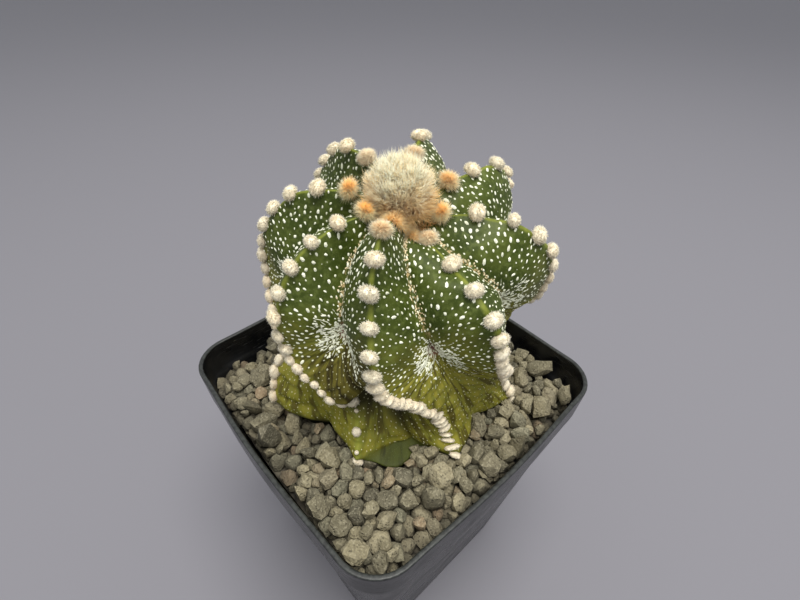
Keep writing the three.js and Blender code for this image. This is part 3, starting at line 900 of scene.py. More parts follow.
# The first mask darkens the band where the skin tucks in under near the grit: painted shade. The second
# marks the old foot's own dark green below its ridge.
tuck_shade, ridge_under = ease(0.955, 0.99, all_t), ease(RIDGE - 0.002, RIDGE + 0.004, all_t)
stem = make_piece("stem_flesh", stem_points, closed_grid(rows, columns), "stem_flesh",
                  down=all_t, off_crest=np.abs(all_side), valley=all_valley,
                  around=np.arctan2(np.sign(all_side) * (1 - np.abs(all_side)) * FACE_WIDTH,
                                    (all_t - PINCHES[all_valley]) * CREST_LENGTH),
                  from_pinch=np.linalg.norm(from_pinch(all_rib, all_side, stem_points), axis=-1),
                  # shade: painted shade, the gap under the lip painted near black
                  shade=lip_shade(all_w, all_t),
                  # brown: bruised skin above the lip and the groove, painted dark partly as painted shade
                  brown=np.maximum(lip_bruise_and_shade(all_w, all_t), foot_groove(all_w, all_t)),
                  # under: the old foot's dark green, and painted shade where the skin tucks in under near
                  # the grit
                  under=tuck_shade + (ridge_under - tuck_shade) * old_foot(all_w))
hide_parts("stem")

# %% [markdown]
# ### Skin colour
#
# Living skin at the top is a deep green. It turns olive and then yellowish towards the old foot. The
# crests are edged in brighter yellow-green, the valleys above the pinch carry specks of tan cork, and
# the pinch itself is a pinkish scar. Brown shows in the creases. Above the lip the skin is painted brown
# and dark, partly as bruised skin and partly as painted shade where the face turns under, and the
# groove between the toes gets the same colour. The gap under the lip is painted near black as painted
# shade. The oldest foot is dark green, and the band where the skin tucks in under near the grit is
# painted the same dark green as painted shade. The skin is waxy, so it has a broad soft gloss, and tiny
# pores break it up. The masks come from the numbers stored on the mesh, so the pattern follows the ribs.
# The creases are noise read at a place made of the angle about the pinch and the distance from it, far
# finer across the angle than along the distance, so they run outwards like the folds of a fan.

# %% Finish the skin
FAN_ANGLE = 11
FAN_REACH = 0.10
FAN_APART = 9.7


def cactus_skin():
    finish = Finish("cactus_skin")
    down, off_crest, shade, brown, under, pinch_distance, around, valley_number = finish.marked(
        "down", "off_crest", "shade", "brown", "under", "from_pinch", "around", "valley")
    patches = finish.noise(9, 3)
    mottle = finish.noise(1.3, 3)
    fan = finish.noise(1.0, 3, finish.node("ShaderNodeCombineXYZ", {}, {
        0: around * (FAN_ANGLE * MM), 1: pinch_distance * (FAN_REACH * MM),
        2: valley_number * (FAN_APART * MM)}))
    old = (down + 0.25 * patches).rise(0.58, 0.90)
    young = finish.blend(patches.rise(0.35, 0.7), (0.034, 0.052, 0.006), (0.064, 0.085, 0.012))
    olive = finish.blend(fan.rise(0.35, 0.65), (0.165, 0.165, 0.018), (0.26, 0.235, 0.03))
    foot_green_and_shade = finish.blend(fan.rise(0.35, 0.6), (0.013, 0.018, 0.005), (0.045, 0.062, 0.012))
    bruise_and_shade = finish.blend(fan.rise(0.4, 0.65), (0.028, 0.020, 0.005), (0.105, 0.088, 0.015))
    edge = (1 - off_crest.rise(0.015, 0.085)) * (0.4 + 0.6 * mottle)
    crease = (1 - fan.rise(0.38, 0.47)) * down.rise(0.58, 0.7) * off_crest.rise(0.04, 0.25)
    valley = off_crest.rise(0.90, 0.985) * (1 - down.rise(0.52, 0.6)) * down.rise(0.03, 0.1)
    cork = valley * finish.noise(0.9, 3).rise(0.5, 0.6)
    scar = 1 - (pinch_distance + 2.5 * mottle).rise(2.4, 4.8)
    pores = 1 - finish.cells(0.45).rise(0.08, 0.3)
    colour = finish.coats(young,
                          (old, olive),
                          (mottle.rise(0.45, 0.7) * 0.35, (0.16, 0.20, 0.05)),
                          (edge * 0.75, (0.24, 0.27, 0.036)),
                          (crease * 0.75, (0.070, 0.050, 0.010)),
                          (cork, (0.42, 0.31, 0.14)),
                          (scar * 0.85, (0.32, 0.15, 0.12)),
                          # dark green: the old foot's own colour, and painted shade on the band where the
                          # skin tucks in under
                          (under * 0.9, foot_green_and_shade),
                          # above the lip and in the groove: bruised brown skin and painted shade
                          (brown * 0.85, bruise_and_shade),
                          # painted shade: the gap under the lip is painted near black
                          (shade * 0.92, (0.018, 0.015, 0.005)),
                          (pores * 0.18, (0.30, 0.33, 0.16)))
    roughness = 0.40 + 0.14 * mottle + 0.12 * old
    relief = (0.35 * fan * down.rise(0.5, 0.66) * off_crest.rise(0, 0.2) + 0.06 * finish.noise(0.8, 3)
              + 0.02 * pores + 0.12 * cork)
    return finish.done(colour, roughness, relief, IOR=1.42, Specular_IOR_Level=0.24)


paint(stem, cactus_skin())

# %% [markdown]
# ## The flecks
#
# The white sprinkling that gives the plant its name is made of tufts of felted hair, each under a
# millimetre long. They are real little reliefs, so they are meshes here: irregular flakes with six rim
# points, one point above and one below. They point away from the pinch of their valley. Random places
# are drawn in proportion to the skin's area, then thinned so that no two are closer than a given
# spacing, which is what makes the sprinkling look even but not regular.

# %% Scatter places over the skin
FLECK_SPACING = 1.26


def thinned(points, spacing, random):
    """Indices of points no two of which are closer than spacing, found in random order."""
    square = (points ** 2).sum(axis=1)
    distance = square[:, None] + square[None] - 2 * points @ points.T
    near = distance < spacing[:, None] ** 2
    taken, free = [], np.ones(len(points), bool)
    for i in random.permutation(len(points)):
        if free[i]:
            taken.append(i)
            free &= ~near[i]
    return np.array(taken)


def scatter_flecks(random, tries=8000, step=0.004):
    """Rib, side and t of the flecks, for all sixteen faces."""
    found = []
    for rib in range(len(RIBS)):
        for sign in (-1, 1):
            side = sign * random.uniform(0.06, 0.985, tries)
            t = random.uniform(0.05, 0.965, tries)
            ribs = np.full(tries, rib)
            here = skin(ribs, side, t)
            area = np.linalg.norm(np.cross(skin(ribs, side + step, t) - here,
                                           skin(ribs, side, t + step) - here), axis=-1)
            kept = random.random(tries) < area / np.quantile(area, 0.97)
            ribs, side, t, here = ribs[kept], side[kept], t[kept], here[kept].astype(np.float32)
            near_pinch = 1 - ease(2, 10, np.linalg.norm(from_pinch(ribs, side, here), axis=-1))
            spacing = FLECK_SPACING - 0.14 * ease(0.4, 0.7, t) - 0.5 * near_pinch
            spacing = spacing + 0.22 * random.normal(size=len(t)).clip(-1, 1.5)
            chosen = thinned(here, spacing, random)
            found.append(np.stack([ribs[chosen], side[chosen], t[chosen]]))
    rib, side, t = np.concatenate(found, axis=1)
    return rib.astype(int), side, t


fleck_place = scatter_flecks(np.random.default_rng(11))
print("flecks:", len(fleck_place[0]))

# %% Shape the flecks
FLECK_LENGTH = 0.33
FLECK_WIDTH = 0.23
FLECK_HEIGHT = 0.14


def flakes(centre, along, across, out, length, width, thickness, random):
    """Flat irregular lumps: a rim of six points, and a point above and one below the middle."""
    turn = np.arange(6) * np.pi / 3
    wobble = random.uniform(0.7, 1.15, (len(centre), 6))
    run = (np.cos(turn) * wobble * length[:, None])[..., None]
    rise = (np.sin(turn) * wobble * width[:, None])[..., None]
    rim = centre[:, None] + along[:, None] * run + across[:, None] * rise
    rim = rim + out[:, None] * 0.25 * thickness[:, None, None]
    top = centre + out * thickness[:, None]
    bottom = centre - out * 0.12
    points = np.concatenate([rim, top[:, None], bottom[:, None]], axis=1).reshape(-1, 3)
    ring = np.arange(6)
    faces = np.concatenate([fan_faces(ring, 6), fan_faces(ring, 7)[:, ::-1]])
    return points, copies(faces, len(centre), 8)


def pointing_away(rib, side, centre, out, random, stray):
    """Directions along the skin that lead away from the pinch, each turned by a stray angle."""
    away = from_pinch(rib, side, centre)
    away = unit(away - out * (away * out).sum(axis=-1, keepdims=True))
    turn = random.normal(0, stray, len(rib))[:, None]
    along = away * np.cos(turn) + np.cross(out, away) * np.sin(turn)
    return along, np.cross(out, along)


def lay_flecks(rib, side, t, random):
    """The flecks: they point away from the pinch, and are smaller and thinner towards the foot."""
    centre, _, _, out = skin_frame(rib, side, t)
    count = len(t)
    along, other = pointing_away(rib, side, centre, out, random, 0.3)
    low = ease(0.62, 0.78, t)
    size = random.lognormal(0, 0.34, count).clip(0, 1.6)
    size = size * (1.20 - 0.18 * ease(0.3, 0.5, t) - 0.42 * low)
    length = FLECK_LENGTH * size * random.uniform(0.8, 1.4, count)
    width = FLECK_WIDTH * size * random.uniform(0.8, 1.1, count)
    points, faces = flakes(centre, along, other, out, length, width, FLECK_HEIGHT * size, random)
    white = random.uniform(0.5, 1.05, count) * (1 - 0.4 * low)
    return points, faces, np.repeat(white, 8), np.repeat(low, 8), np.zeros(len(points))


# %% [markdown]
# Right at the pinch the tufts are drawn out into thin white hairs that lie flat on the skin and point
# away from the scar, with broader patches of felt among them. Along the bottom of each upper valley
# lie specks of tan cork. All three are the same flakes again, in other proportions.

# %% Fan hairs round each pinch, and specks along the valleys
PINCH_HAIRS = 60
FELT_PATCHES = 80
SPECKS = 150


def near_pinches(per_face, random, spread, down):
    """Rib, side and t of places scattered close to the pinch, on both sides of each valley."""
    count = per_face * 2 * len(RIBS)
    rib = np.repeat(np.arange(len(RIBS)), 2 * per_face)
    sign = np.tile(np.repeat([-1, 1], per_face), len(RIBS))
    side = sign * (0.93 - spread * random.random(count) ** 1.2)
    t = PINCHES[valley_of(rib, sign)] + random.normal(down, 0.045, count)
    return rib, side, t


def lay_hairs(place, random, length, width, stray, white, tan):
    """Flat hairs or crumbs at these places, each of a length and width between two limits."""
    centre, _, _, out = skin_frame(*place)
    along, other = pointing_away(place[0], place[1], centre, out, random, stray)
    count = len(place[0])
    points, faces = flakes(centre, along, other, out, random.uniform(*length, count),
                           random.uniform(*width, count), np.full(count, 0.1), random)
    plain = np.ones(len(points))
    return points, faces, white * plain, 0 * plain, tan * plain


hair_random = np.random.default_rng(13)
speck_rib = np.repeat(np.arange(len(RIBS)), SPECKS)
speck_side = hair_random.choice([-1, 1], len(speck_rib)) * hair_random.uniform(0.90, 0.99, len(speck_rib))
speck_t = 0.06 + 0.46 * hair_random.random(len(speck_rib)) ** 1.4
hair_place = near_pinches(PINCH_HAIRS, hair_random, 0.40, -0.012)
felt_place = near_pinches(FELT_PATCHES, hair_random, 0.36, -0.015)
laid = [lay_flecks(*fleck_place, np.random.default_rng(12)),
        lay_hairs(hair_place, hair_random, (0.4, 1.3), (0.05, 0.11), 0.25, 0.75, 0),
        lay_hairs(felt_place, hair_random, (0.25, 0.65), (0.16, 0.38), 0.8, 0.9, 0),
        lay_hairs((speck_rib, speck_side, speck_t), hair_random, (0.2, 0.42), (0.12, 0.24), 1.5, 0.8, 1)]
points, faces, white, low, tan = zip(*laid)
starts = np.cumsum([0] + [len(block) for block in points])
flecks = make_piece("white_flecks", np.vstack(points),
                    [block + start for block, start in zip(faces, starts)], "wool", False,
                    white=np.concatenate(white), low=np.concatenate(low), tan=np.concatenate(tan))
print("flecks, hairs and specks:", starts[-1] // 8)

# %% Finish the flecks
def fleck_felt():
    finish = Finish("fleck_felt")
    white, low, tan = finish.marked("white", "low", "tan")
    fresh = finish.blend(white, (0.45, 0.48, 0.30), (0.93, 0.95, 0.78))
    aged = finish.blend(white, (0.36, 0.36, 0.15), (0.90, 0.88, 0.60))
    corky = finish.blend(white, (0.45, 0.33, 0.16), (0.85, 0.74, 0.48))
    return finish.done(finish.coats(fresh, (low, aged), (tan, corky)), 0.85, 0.03 * finish.noise(0.2, 2))


paint(flecks, fleck_felt())

# %% [markdown]
# ## Wool
#
# The cushions and the bud are wool. Particle hair would not survive being stored as a mesh, so
# each hair is a thin spike. A short hair is a four-faced spike, and a long one has a bend in the middle.
# Under the hairs is a lumpy body, because wool this dense hides its own roots.

# %% Hairs as meshes
def hairs(root, tip, radius, random, middle=None):
    """Thin spikes: a triangle round each root, a smaller one at the middle if it bends, and a tip."""
    aim = unit(tip - root)
    side = unit(np.cross(aim, random.normal(size=aim.shape)))
    turn = np.arange(3)[:, None] * 2 * np.pi / 3
    around = side[:, None] * np.cos(turn) + np.cross(aim, side)[:, None] * np.sin(turn)
    around = around * np.broadcast_to(radius, len(root))[:, None, None]
    rings = [root[:, None] + around]
    if middle is not None:
        rings.append(middle[:, None] + 0.85 * around)
    size = 3 * len(rings) + 1
    triangles = np.vstack([[[0, 2, 1]], fan_faces(np.arange(size - 4, size - 1), size - 1)])
    faces = [copies(block, len(root), size) for block in (triangles, grid_faces(len(rings), 3))]
    return np.concatenate([*rings, tip[:, None]], axis=1).reshape(-1, 3), faces


# %% [markdown]
# ### The cushions
#
# High on the ribs a cushion is a round pompom, about 5 mm wide. Lower down it is a flat disc like a
# biscuit on edge, and the discs stand in a row, touching. Each is an ellipsoid, widest across the crest,
# roughened with ripples and dressed with short spikes. Those next to the bud are younger: their body is
# smaller, their hairs are longer, and they are orange in the middle with a pale fringe.

# %% Measure out the cushions
# how orange each rib's first cushion is
FIRST_WARMTH = np.array([1.0, 0.85, 0.4, 0.3, 1.0, 1.0, 0.6, 0.55])
cushion_rib = np.repeat(np.arange(len(RIBS)), [len(places) for places in cushion_t])
cushion_down = np.concatenate(cushion_t)
place_on_rib = np.concatenate([np.arange(len(places)) for places in cushion_t])
cushion_random = np.random.default_rng(21)
count = len(cushion_down)
crowding = CUSHION_RULES[cushion_rib, 2:].T
flat = ease(crowding[0] + 0.06, crowding[1] + 0.02, cushion_down)
on_left = cushion_rib == LEFT_RIB
on_front = cushion_rib == FRONT_RIB
shrunk = cushion_random.normal(1, 0.07, count) * (1 - 0.08 * (on_left | on_front) * (1 - flat))
shrunk[on_left & (cushion_down > 0.84)] *= LEFT_TOE[:, 1]
thin = CLOSE_PITCH[cushion_rib] * np.where(on_front, 0.25, 0.50)
half_across = (2.05 - (0.1 + 0.45 * on_left) * flat) * shrunk
half_down = (1.6 + (thin - 1.6) * flat) * shrunk
half_out = (1.45 - (0.1 + 0.3 * on_left) * flat) * shrunk
cushion_foot, across, down, out = skin_frame(cushion_rib, np.zeros(count), cushion_down, 0.02)
cushion_centre = cushion_foot + out * (0.6 * half_out)[:, None]
cushion_sizes = np.stack([half_across, half_down, half_out], axis=-1)
tilt = (cushion_random.normal(0, 0.3, count) * flat)[:, None]
cushion_axes = np.stack([across * np.cos(tilt) + down * np.sin(tilt),
                         down * np.cos(tilt) - across * np.sin(tilt), out], axis=1)
warmth = np.where(place_on_rib == 0, FIRST_WARMTH[cushion_rib], 0.15 * (place_on_rib == 1))
warmth = warmth + 0.05 * cushion_random.normal(size=count)
glow = (warmth * (place_on_rib == 0)).clip(0, 1)
print("cushions:", count)


# %% Build the cushions, one piece for each rib
SPIKES_ROUND = 760
SPIKES_FLAT = 340


def place_cushions(owner, local):
    """Points given across, down and out of their cushions, moved to where those are."""
    return cushion_centre[owner] + np.einsum("...k,...kd->...d", local, cushion_axes[owner])


def cushion_bodies(chosen, rows=8, columns=14):
    """Lumpy ellipsoids: each direction of a ball, times the three half sizes, times 1 plus ripples.

    Across, down and out mirror the ball's own x, y and z, so its faces are turned over."""
    directions, faces = ball(rows, columns)
    owner = chosen[:, None]
    local = directions * cushion_sizes[owner] * (1 - 0.24 * glow[owner])[..., None]
    lumps = ripple(local + 50 * owner[..., None], 1.5, 22) + ripple(local, 0.6, 23)
    points = place_cushions(owner, local * (0.92 + 0.055 * lumps)[..., None])
    # The side of each body towards the skin is darker and its outer side lighter: painted shade.
    tone = 0.55 + 0.25 * directions[:, 2] - 0.15 * flat[owner]
    tone = tone + 0.45 * glow[owner] * (1 - ease(0.35, 0.95, directions[:, 2]))
    turned = [np.roll(block[:, ::-1], 1, axis=1) for block in faces]
    blocks = [copies(block, len(chosen), len(directions)) for block in turned]
    return points.reshape(-1, 3), blocks, tone.ravel(), np.repeat(warmth[chosen], len(directions))


def cushion_spikes(chosen, random):
    """Short fine hairs that stand out of every cushion, more of them on the round ones.

    On the young ones they are longer, orange where they face outwards and pale round the rim."""
    number = np.where(flat[chosen] < 0.5, SPIKES_ROUND, SPIKES_FLAT)
    owner = np.repeat(chosen, number * np.where(place_on_rib[chosen] == 0, 2, 1))
    aim = unit(random.normal(size=(len(owner), 3)) + [0, 0, 0.45])
    ragged = unit(aim + 0.5 * random.normal(size=aim.shape))
    young = place_on_rib[owner] == 0
    longest = 0.42 - 0.17 * flat[owner] + 0.75 * glow[owner]
    reach = (random.uniform(0.15, 1.0, len(owner)) * longest)[:, None]
    sizes = cushion_sizes[owner]
    root = place_cushions(owner, aim * sizes * (0.90 - 0.25 * glow[owner])[:, None])
    tip = place_cushions(owner, (aim + ragged * reach) * sizes)
    points, faces = hairs(root, tip, random.uniform(0.045, 0.075, len(owner)), random)
    bright = random.uniform(0.7, 1.1, len(owner)) * (1 - 0.2 * flat[owner])
    facing = ease(0.35, 0.95, aim[:, 2])
    at_root = (0.6 - 0.2 * young + 0.45 * glow[owner] * (1 - facing)) * bright
    at_tip = (1.15 - 0.6 * glow[owner] * facing) * bright
    tone = np.stack([at_root, at_root, at_root, at_tip], axis=-1)
    return points, faces, tone.ravel(), np.repeat(warmth[owner], 4)


cushion_pieces = []
for rib in range(len(RIBS)):
    chosen = np.flatnonzero(cushion_rib == rib)
    body_points, body_faces, body_tone, body_warm = cushion_bodies(chosen)
    spike_points, spike_faces, spike_tone, spike_warm = cushion_spikes(chosen, cushion_random)
    cushion_pieces.append(make_piece(
        f"crest_wool_{rib + 1}", np.vstack([body_points, spike_points]),
        body_faces + [block + len(body_points) for block in spike_faces], "wool",
        tone=np.concatenate([body_tone, spike_tone]),
        warm=np.concatenate([body_warm, spike_warm]).clip(0, 1)))

# %% [markdown]
# ### The bud
#
# The bud is a ball of long silky hairs that lie upwards round it and stand away at their tips. Each
# hair starts on a core and ends on the outer ball, a little nearer to the top than it started, and
# hairs of one lock lean together. At the bud's foot the wool is shorter, curlier and orange-brown, and
# in front it hangs down into the valleys like a skirt.

# %% Comb the bud's hairs
BUD_HAIRS = 14000
BUD_LOCKS = 420
BUD_HAIR_RADIUS = 0.052
bud_up = unit(planted(np.array([0, 0, 70.0])) - planted(np.array([0, 0, 58.0])))
bud_middle = BUD_CENTRE - np.array([np.cos(PLANT_TURN), np.sin(PLANT_TURN), 0.4])


def bud_shape(random):
    """The core as a lumpy ball, and hairs combed towards the top whose tips gather into locks."""
    directions, faces = ball(18, 28)
    core = bud_middle + directions * (BUD_CORE * (1 + 0.03 * ripple(directions, 0.6, 31)))[:, None]
    aim = unit(random.normal(size=(BUD_HAIRS, 3)))
    aim = aim[aim @ bud_up > -0.88]
    height = aim @ bud_up
    upwards = unit(bud_up - aim * height[:, None])
    lock_aim = unit(random.normal(size=(BUD_LOCKS, 3)))
    lock = (aim @ lock_aim.T).argmax(axis=1)
    sway = random.normal(size=aim.shape) * 0.12 + 0.35 * (lock_aim[lock] - aim)
    sway += 0.14 * random.normal(size=lock_aim.shape)[lock]
    combed = (0.28 * (1 - ease(0.5, 1.0, height)))[:, None]
    stretch = random.uniform(0.92, 1.08, BUD_LOCKS)[lock] * random.uniform(0.84, 1.10, len(aim))
    stretch = np.where(random.random(len(aim)) < 0.1, random.uniform(1.08, 1.26, len(aim)), stretch)
    reach = (BUD_RADIUS * stretch * (1 + 0.16 * ease(0.1, 0.7, -height)))[:, None]
    root = bud_middle + aim * BUD_CORE * 0.97
    middle = bud_middle + 0.84 * reach * unit(aim + 0.65 * combed * upwards + 0.75 * sway)
    tip = bud_middle + reach * unit(aim + combed * upwards + sway)
    points, hair_faces = hairs(root, tip, BUD_HAIR_RADIUS, random, middle)
    pale = 0.5 * random.random(len(aim)) + 0.5 * random.random(BUD_LOCKS)[lock]
    all_points = np.vstack([core, points])
    all_faces = faces + [block + len(core) for block in hair_faces]
    bare = np.zeros(len(core))
    marks = {"height": np.concatenate([directions @ bud_up, np.repeat(height, 7)]),
             "pale": np.concatenate([bare, np.repeat(pale, 7)]),
             "outer": np.concatenate([bare, np.tile([0, 0, 0, 0.7, 0.7, 0.7, 1.0], len(aim))])}
    return all_points, all_faces, marks


bud_points, bud_faces, bud_marks = bud_shape(np.random.default_rng(32))
bud = make_piece("woolly_bud_hairs", bud_points, bud_faces, "wool", **bud_marks)
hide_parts("woolly_bud")

# %% Orange wool round the bud's foot
FOOT_HAIRS = 3600
SKIRT_HAIRS = 3800


def crown_wool(random):
    """Short curly hairs on the skin round the bud, and a thick skirt of them in the valley in front."""
    count = FOOT_HAIRS + SKIRT_HAIRS
    rib = random.integers(0, len(RIBS), count)
    side = random.uniform(-1, 1, count)
    t = 0.015 + 0.06 * random.random(count) ** 0.8
    sign = random.choice([-1, 1], SKIRT_HAIRS, p=[0.5, 0.5])
    rib[FOOT_HAIRS:] = np.where(sign > 0, FRONT_RIB, RIGHT_RIB)
    side[FOOT_HAIRS:] = np.where(sign > 0, random.uniform(-0.4, 1, SKIRT_HAIRS),
                                 random.uniform(-1, -0.5, SKIRT_HAIRS))
    t[FOOT_HAIRS:] = 0.02 + 0.085 * random.random(SKIRT_HAIRS)
    root, _, _, out = skin_frame(rib, side, t)
    away = unit(root - bud_middle)
    sway = random.normal(size=root.shape)
    longer = np.concatenate([random.uniform(0.4, 1.1, FOOT_HAIRS), random.uniform(0.9, 2.0, SKIRT_HAIRS)])
    middle = root + unit(out + 0.5 * away + 0.5 * sway)
    tip = middle + longer[:, None] * unit(0.5 * out + 0.7 * away + 0.6 * sway)
    return hairs(root, tip, 0.055, random, middle)


crown_points, crown_faces = crown_wool(np.random.default_rng(33))
crown = make_piece("crown_wool", crown_points, crown_faces, "wool", warm=np.ones(len(crown_points)),
                   tone=np.tile([0.35, 0.35, 0.35, 0.5, 0.5, 0.5, 0.9], FOOT_HAIRS + SKIRT_HAIRS))


# %% [markdown]
# ### Wool's finish
#
# Wool is rough and a little translucent, so it has no gloss. Its colour comes from the numbers stored
# on the hairs: roots are darker than tips, young wool is orange, and the bud turns from tan at its foot
# through straw to cream on top. A low sheen gives the soft edge that fibres have against the light.

# %% Finish the wool
def cushion_felt():
    finish = Finish("cushion_felt")
    tone, warm = finish.marked("tone", "warm")
    grained = tone + 0.5 * finish.noise(0.5, 3)
    plain = finish.blend(grained.rise(0.45, 1.15), (0.68, 0.59, 0.44), (0.95, 0.89, 0.70))
    orange = finish.blend(grained.rise(0.6, 1.3), (0.96, 0.50, 0.11), (1.0, 0.90, 0.55))
    colour = finish.blend(warm, plain, orange)
    return finish.done(colour, 0.95, 0.12 * finish.noise(0.4, 3), Sheen_Weight=0.25, IOR=1.3)


def bud_silk():
    finish = Finish("bud_silk")
    height, pale, outer = finish.marked("height", "pale", "outer")
    level = (height + 0.35 * pale).rise(-0.65, 0.95)
    inner = finish.blend(level, (0.84, 0.38, 0.07), (0.86, 0.70, 0.38))
    silk = finish.blend(level, (0.96, 0.64, 0.25), (0.87, 0.87, 0.68))
    straw = finish.blend(pale.rise(0.1, 0.5), (0.88, 0.66, 0.32), silk)
    colour = finish.blend(outer.rise(0.1, 0.9), inner, straw)
    return finish.done(colour, 0.8, 0.05 * finish.noise(0.3, 2), Sheen_Weight=0.3, IOR=1.4)


felt = cushion_felt()
for piece in cushion_pieces + [crown]:
    paint(piece, felt)
paint(bud, bud_silk())

# %% [markdown]
# ## The grit
#
# The pot is topped with crushed stone, tight-fitting and angular but with blunt edges. A stone is the
# space inside a handful of flat planes. In each direction it reaches as far as the nearest plane lets
# it; taking a power mean of the planes instead of the nearest one rounds all its edges at once. The
# stones that the CAD model knows are rebuilt from their own planes, each as a piece of its own.

# %% Stones from flat planes
STONE_EDGE = 26


def stone_reach(directions, normals, distances):
    """How far a stone reaches: (sum over its planes of (normal . direction / distance)^p)^(-1/p)."""
    facing = np.maximum(np.einsum("nmd,nkd->nmk", directions, normals), 0) / distances[:, None]
    return (facing ** STONE_EDGE).sum(axis=-1) ** (-1 / STONE_EDGE)


def planes_of(node):
    """Centre, normals and distances of the flat faces of a CAD stone, in millimetres."""
    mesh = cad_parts[node].data
    normals = np.zeros(len(mesh.polygons) * 3, np.float32)
    middles = np.zeros_like(normals)
    mesh.polygons.foreach_get("normal", normals)
    mesh.polygons.foreach_get("center", middles)
    normals, middles = normals.reshape(-1, 3).astype(float), middles.reshape(-1, 3) / MM
    low, high = (np.array(corner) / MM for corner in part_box(node))
    centre = (low + high) / 2
    distances = ((middles - centre) * normals).sum(axis=-1)
    _, kept = np.unique(np.round(np.column_stack([normals, distances / 4]), 1), axis=0, return_index=True)
    return centre, normals[kept], distances[kept], (high - low).mean()


# %% Rebuild the CAD stones
SHARP_EDGE = np.radians(28)
stone_names = sorted(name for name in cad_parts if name.startswith("stone_"))
stone_slots = ("stone_beige", "stone_cream", "stone_green")
stone_planes = [planes_of(name) for name in stone_names]
stone_pieces = []
for number, (name, (middle, normals, distances, size)) in enumerate(zip(stone_names, stone_planes)):
    rows = 18 if size > 7 else 14
    directions, faces = ball(rows, rows + 9)
    reach = stone_reach(directions[None], normals[None], distances[None])[0]
    bumps = 0.022 * ripple(directions, 1.1, 100 + number) + 0.010 * ripple(directions, 0.4, 200 + number)
    points = middle + directions * (reach * (1 + bumps))[:, None]
    piece = make_piece(name + "_grain", points, faces, stone_slots[number % 3])
    piece.data.set_sharp_from_angle(angle=SHARP_EDGE)
    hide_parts(name)
    stone_pieces.append(piece)
print("stones rebuilt:", len(stone_pieces))

# %% [markdown]
# ### Small grit between the stones
#
# Between those stones lie hundreds of smaller ones. They are dropped as balls and shaken down by a small
# settling loop: every ball sinks a little, then is pushed out of its neighbours, the CAD stones, the
# stem, the wall and the bed, over and over. Each ball then becomes a stone: planes of its own give it
# an angular shape, and a plane towards each neighbour keeps them from overlapping and makes them fit.

# %% Measure what the grit must keep clear of
def wall_distance(points):
    """Distance to the pot's inner wall and the direction towards it, inside a rounded square."""
    half = RIM_HALF - COLLAR_DRAFT - COLLAR_STEP - WALL + 0.2
    corner = RIM_CORNER - COLLAR_STEP - WALL
    past = np.abs(points[:, :2]) - (half - corner)
    inside = np.clip(past, 0, None)
    on_corner = np.linalg.norm(inside, axis=1)
    straight = np.eye(2)[np.argmax(past, axis=1)]
    towards = np.where(on_corner[:, None] > 1e-6, inside / np.maximum(on_corner, 1e-6)[:, None], straight)
    distance = corner - np.where(on_corner > 1e-6, on_corner, past.max(axis=1))
    return distance, np.column_stack([towards * np.sign(points[:, :2]), 0 * distance])


levels = np.array([0.90, 0.93, 0.95, 0.97, 0.985, 1.0])
shell_rib = np.tile(column_rib, len(levels))
shell_side = np.tile(column_side, len(levels)) * 0.995
shell_t = np.repeat(levels, columns)
shell_point, _, _, shell_out = skin_frame(shell_rib, shell_side, shell_t)


def stem_distance(points):
    """Distance to the nearest sampled point of the stem's foot and the way out from there."""
    square = (points ** 2).sum(axis=1)[:, None] + (shell_point ** 2).sum(axis=1)[None]
    nearest = (square - 2 * points @ shell_point.T).argmin(axis=1)
    way_out = shell_out[nearest]
    return ((points - shell_point[nearest]) * way_out).sum(axis=1), way_out


def stone_distance(points):
    """For each CAD stone, how far a point is outside its nearest plane, and that plane's normal."""
    found = []
    for middle, normals, distances, _ in stone_planes:
        outside = (points - middle) @ normals.T - distances
        best = outside.argmax(axis=1)
        found.append((outside[np.arange(len(points)), best], normals[best]))
    return np.array([f[0] for f in found]), np.array([f[1] for f in found])


# %% Shake the grit down
GRIT_COUNT = 1120
SETTLING_STEPS = 220
GENTLE_STEPS = 40
TOUCHING = 0.84


def settle(random):
    """Centres and radii of balls that have come to rest."""
    radius = np.clip(random.lognormal(0.50, 0.27, GRIT_COUNT), 1.0, 2.9)
    centre = np.column_stack([random.uniform(-40, 40, (GRIT_COUNT, 2)),
                              BED_TOP + random.uniform(1.5, 9, GRIT_COUNT)])
    for step in range(SETTLING_STEPS):
        centre[:, 2] -= 0.06 if step < SETTLING_STEPS - GENTLE_STEPS else 0.02
        square = (centre ** 2).sum(axis=1)
        distance = np.sqrt(np.maximum(square[:, None] + square[None] - 2 * centre @ centre.T, 1e-4))
        push = np.clip(TOUCHING * (radius[:, None] + radius[None]) - distance, 0, None) / distance
        np.fill_diagonal(push, 0)
        centre += 0.45 * (push.sum(axis=1)[:, None] * centre - push @ centre).clip(-1, 1)
        gap, way = stem_distance(centre)
        centre += way * np.clip(0.8 * radius - gap, 0, 1.5)[:, None]
        gaps, ways = stone_distance(centre)
        centre += (ways * np.clip(0.8 * radius - gaps, 0, 0.8)[..., None]).sum(axis=0)
        gap, way = wall_distance(centre)
        centre -= way * np.clip(0.85 * radius - gap, 0, None)[:, None]
        centre[:, 2] = np.maximum(centre[:, 2], BED_TOP + 0.6 * radius)
    kept = centre[:, 2] < GRIT_LEVEL + 2.6
    kept &= stem_distance(centre)[0] > 0.55 * radius
    kept &= stone_distance(centre)[0].min(axis=0) > 0.5 * radius
    kept &= wall_distance(centre)[0] > 0.5 * radius
    return centre[kept], radius[kept]


grit_centre, grit_radius = settle(np.random.default_rng(41))
print("small grit:", len(grit_radius), "stones, tops up to",
      round(float((grit_centre[:, 2] + grit_radius).max() - GRIT_LEVEL), 1), "mm over the level")

# %% Shape the small grit
OWN_PLANES = 10
NEIGHBOURS = 14


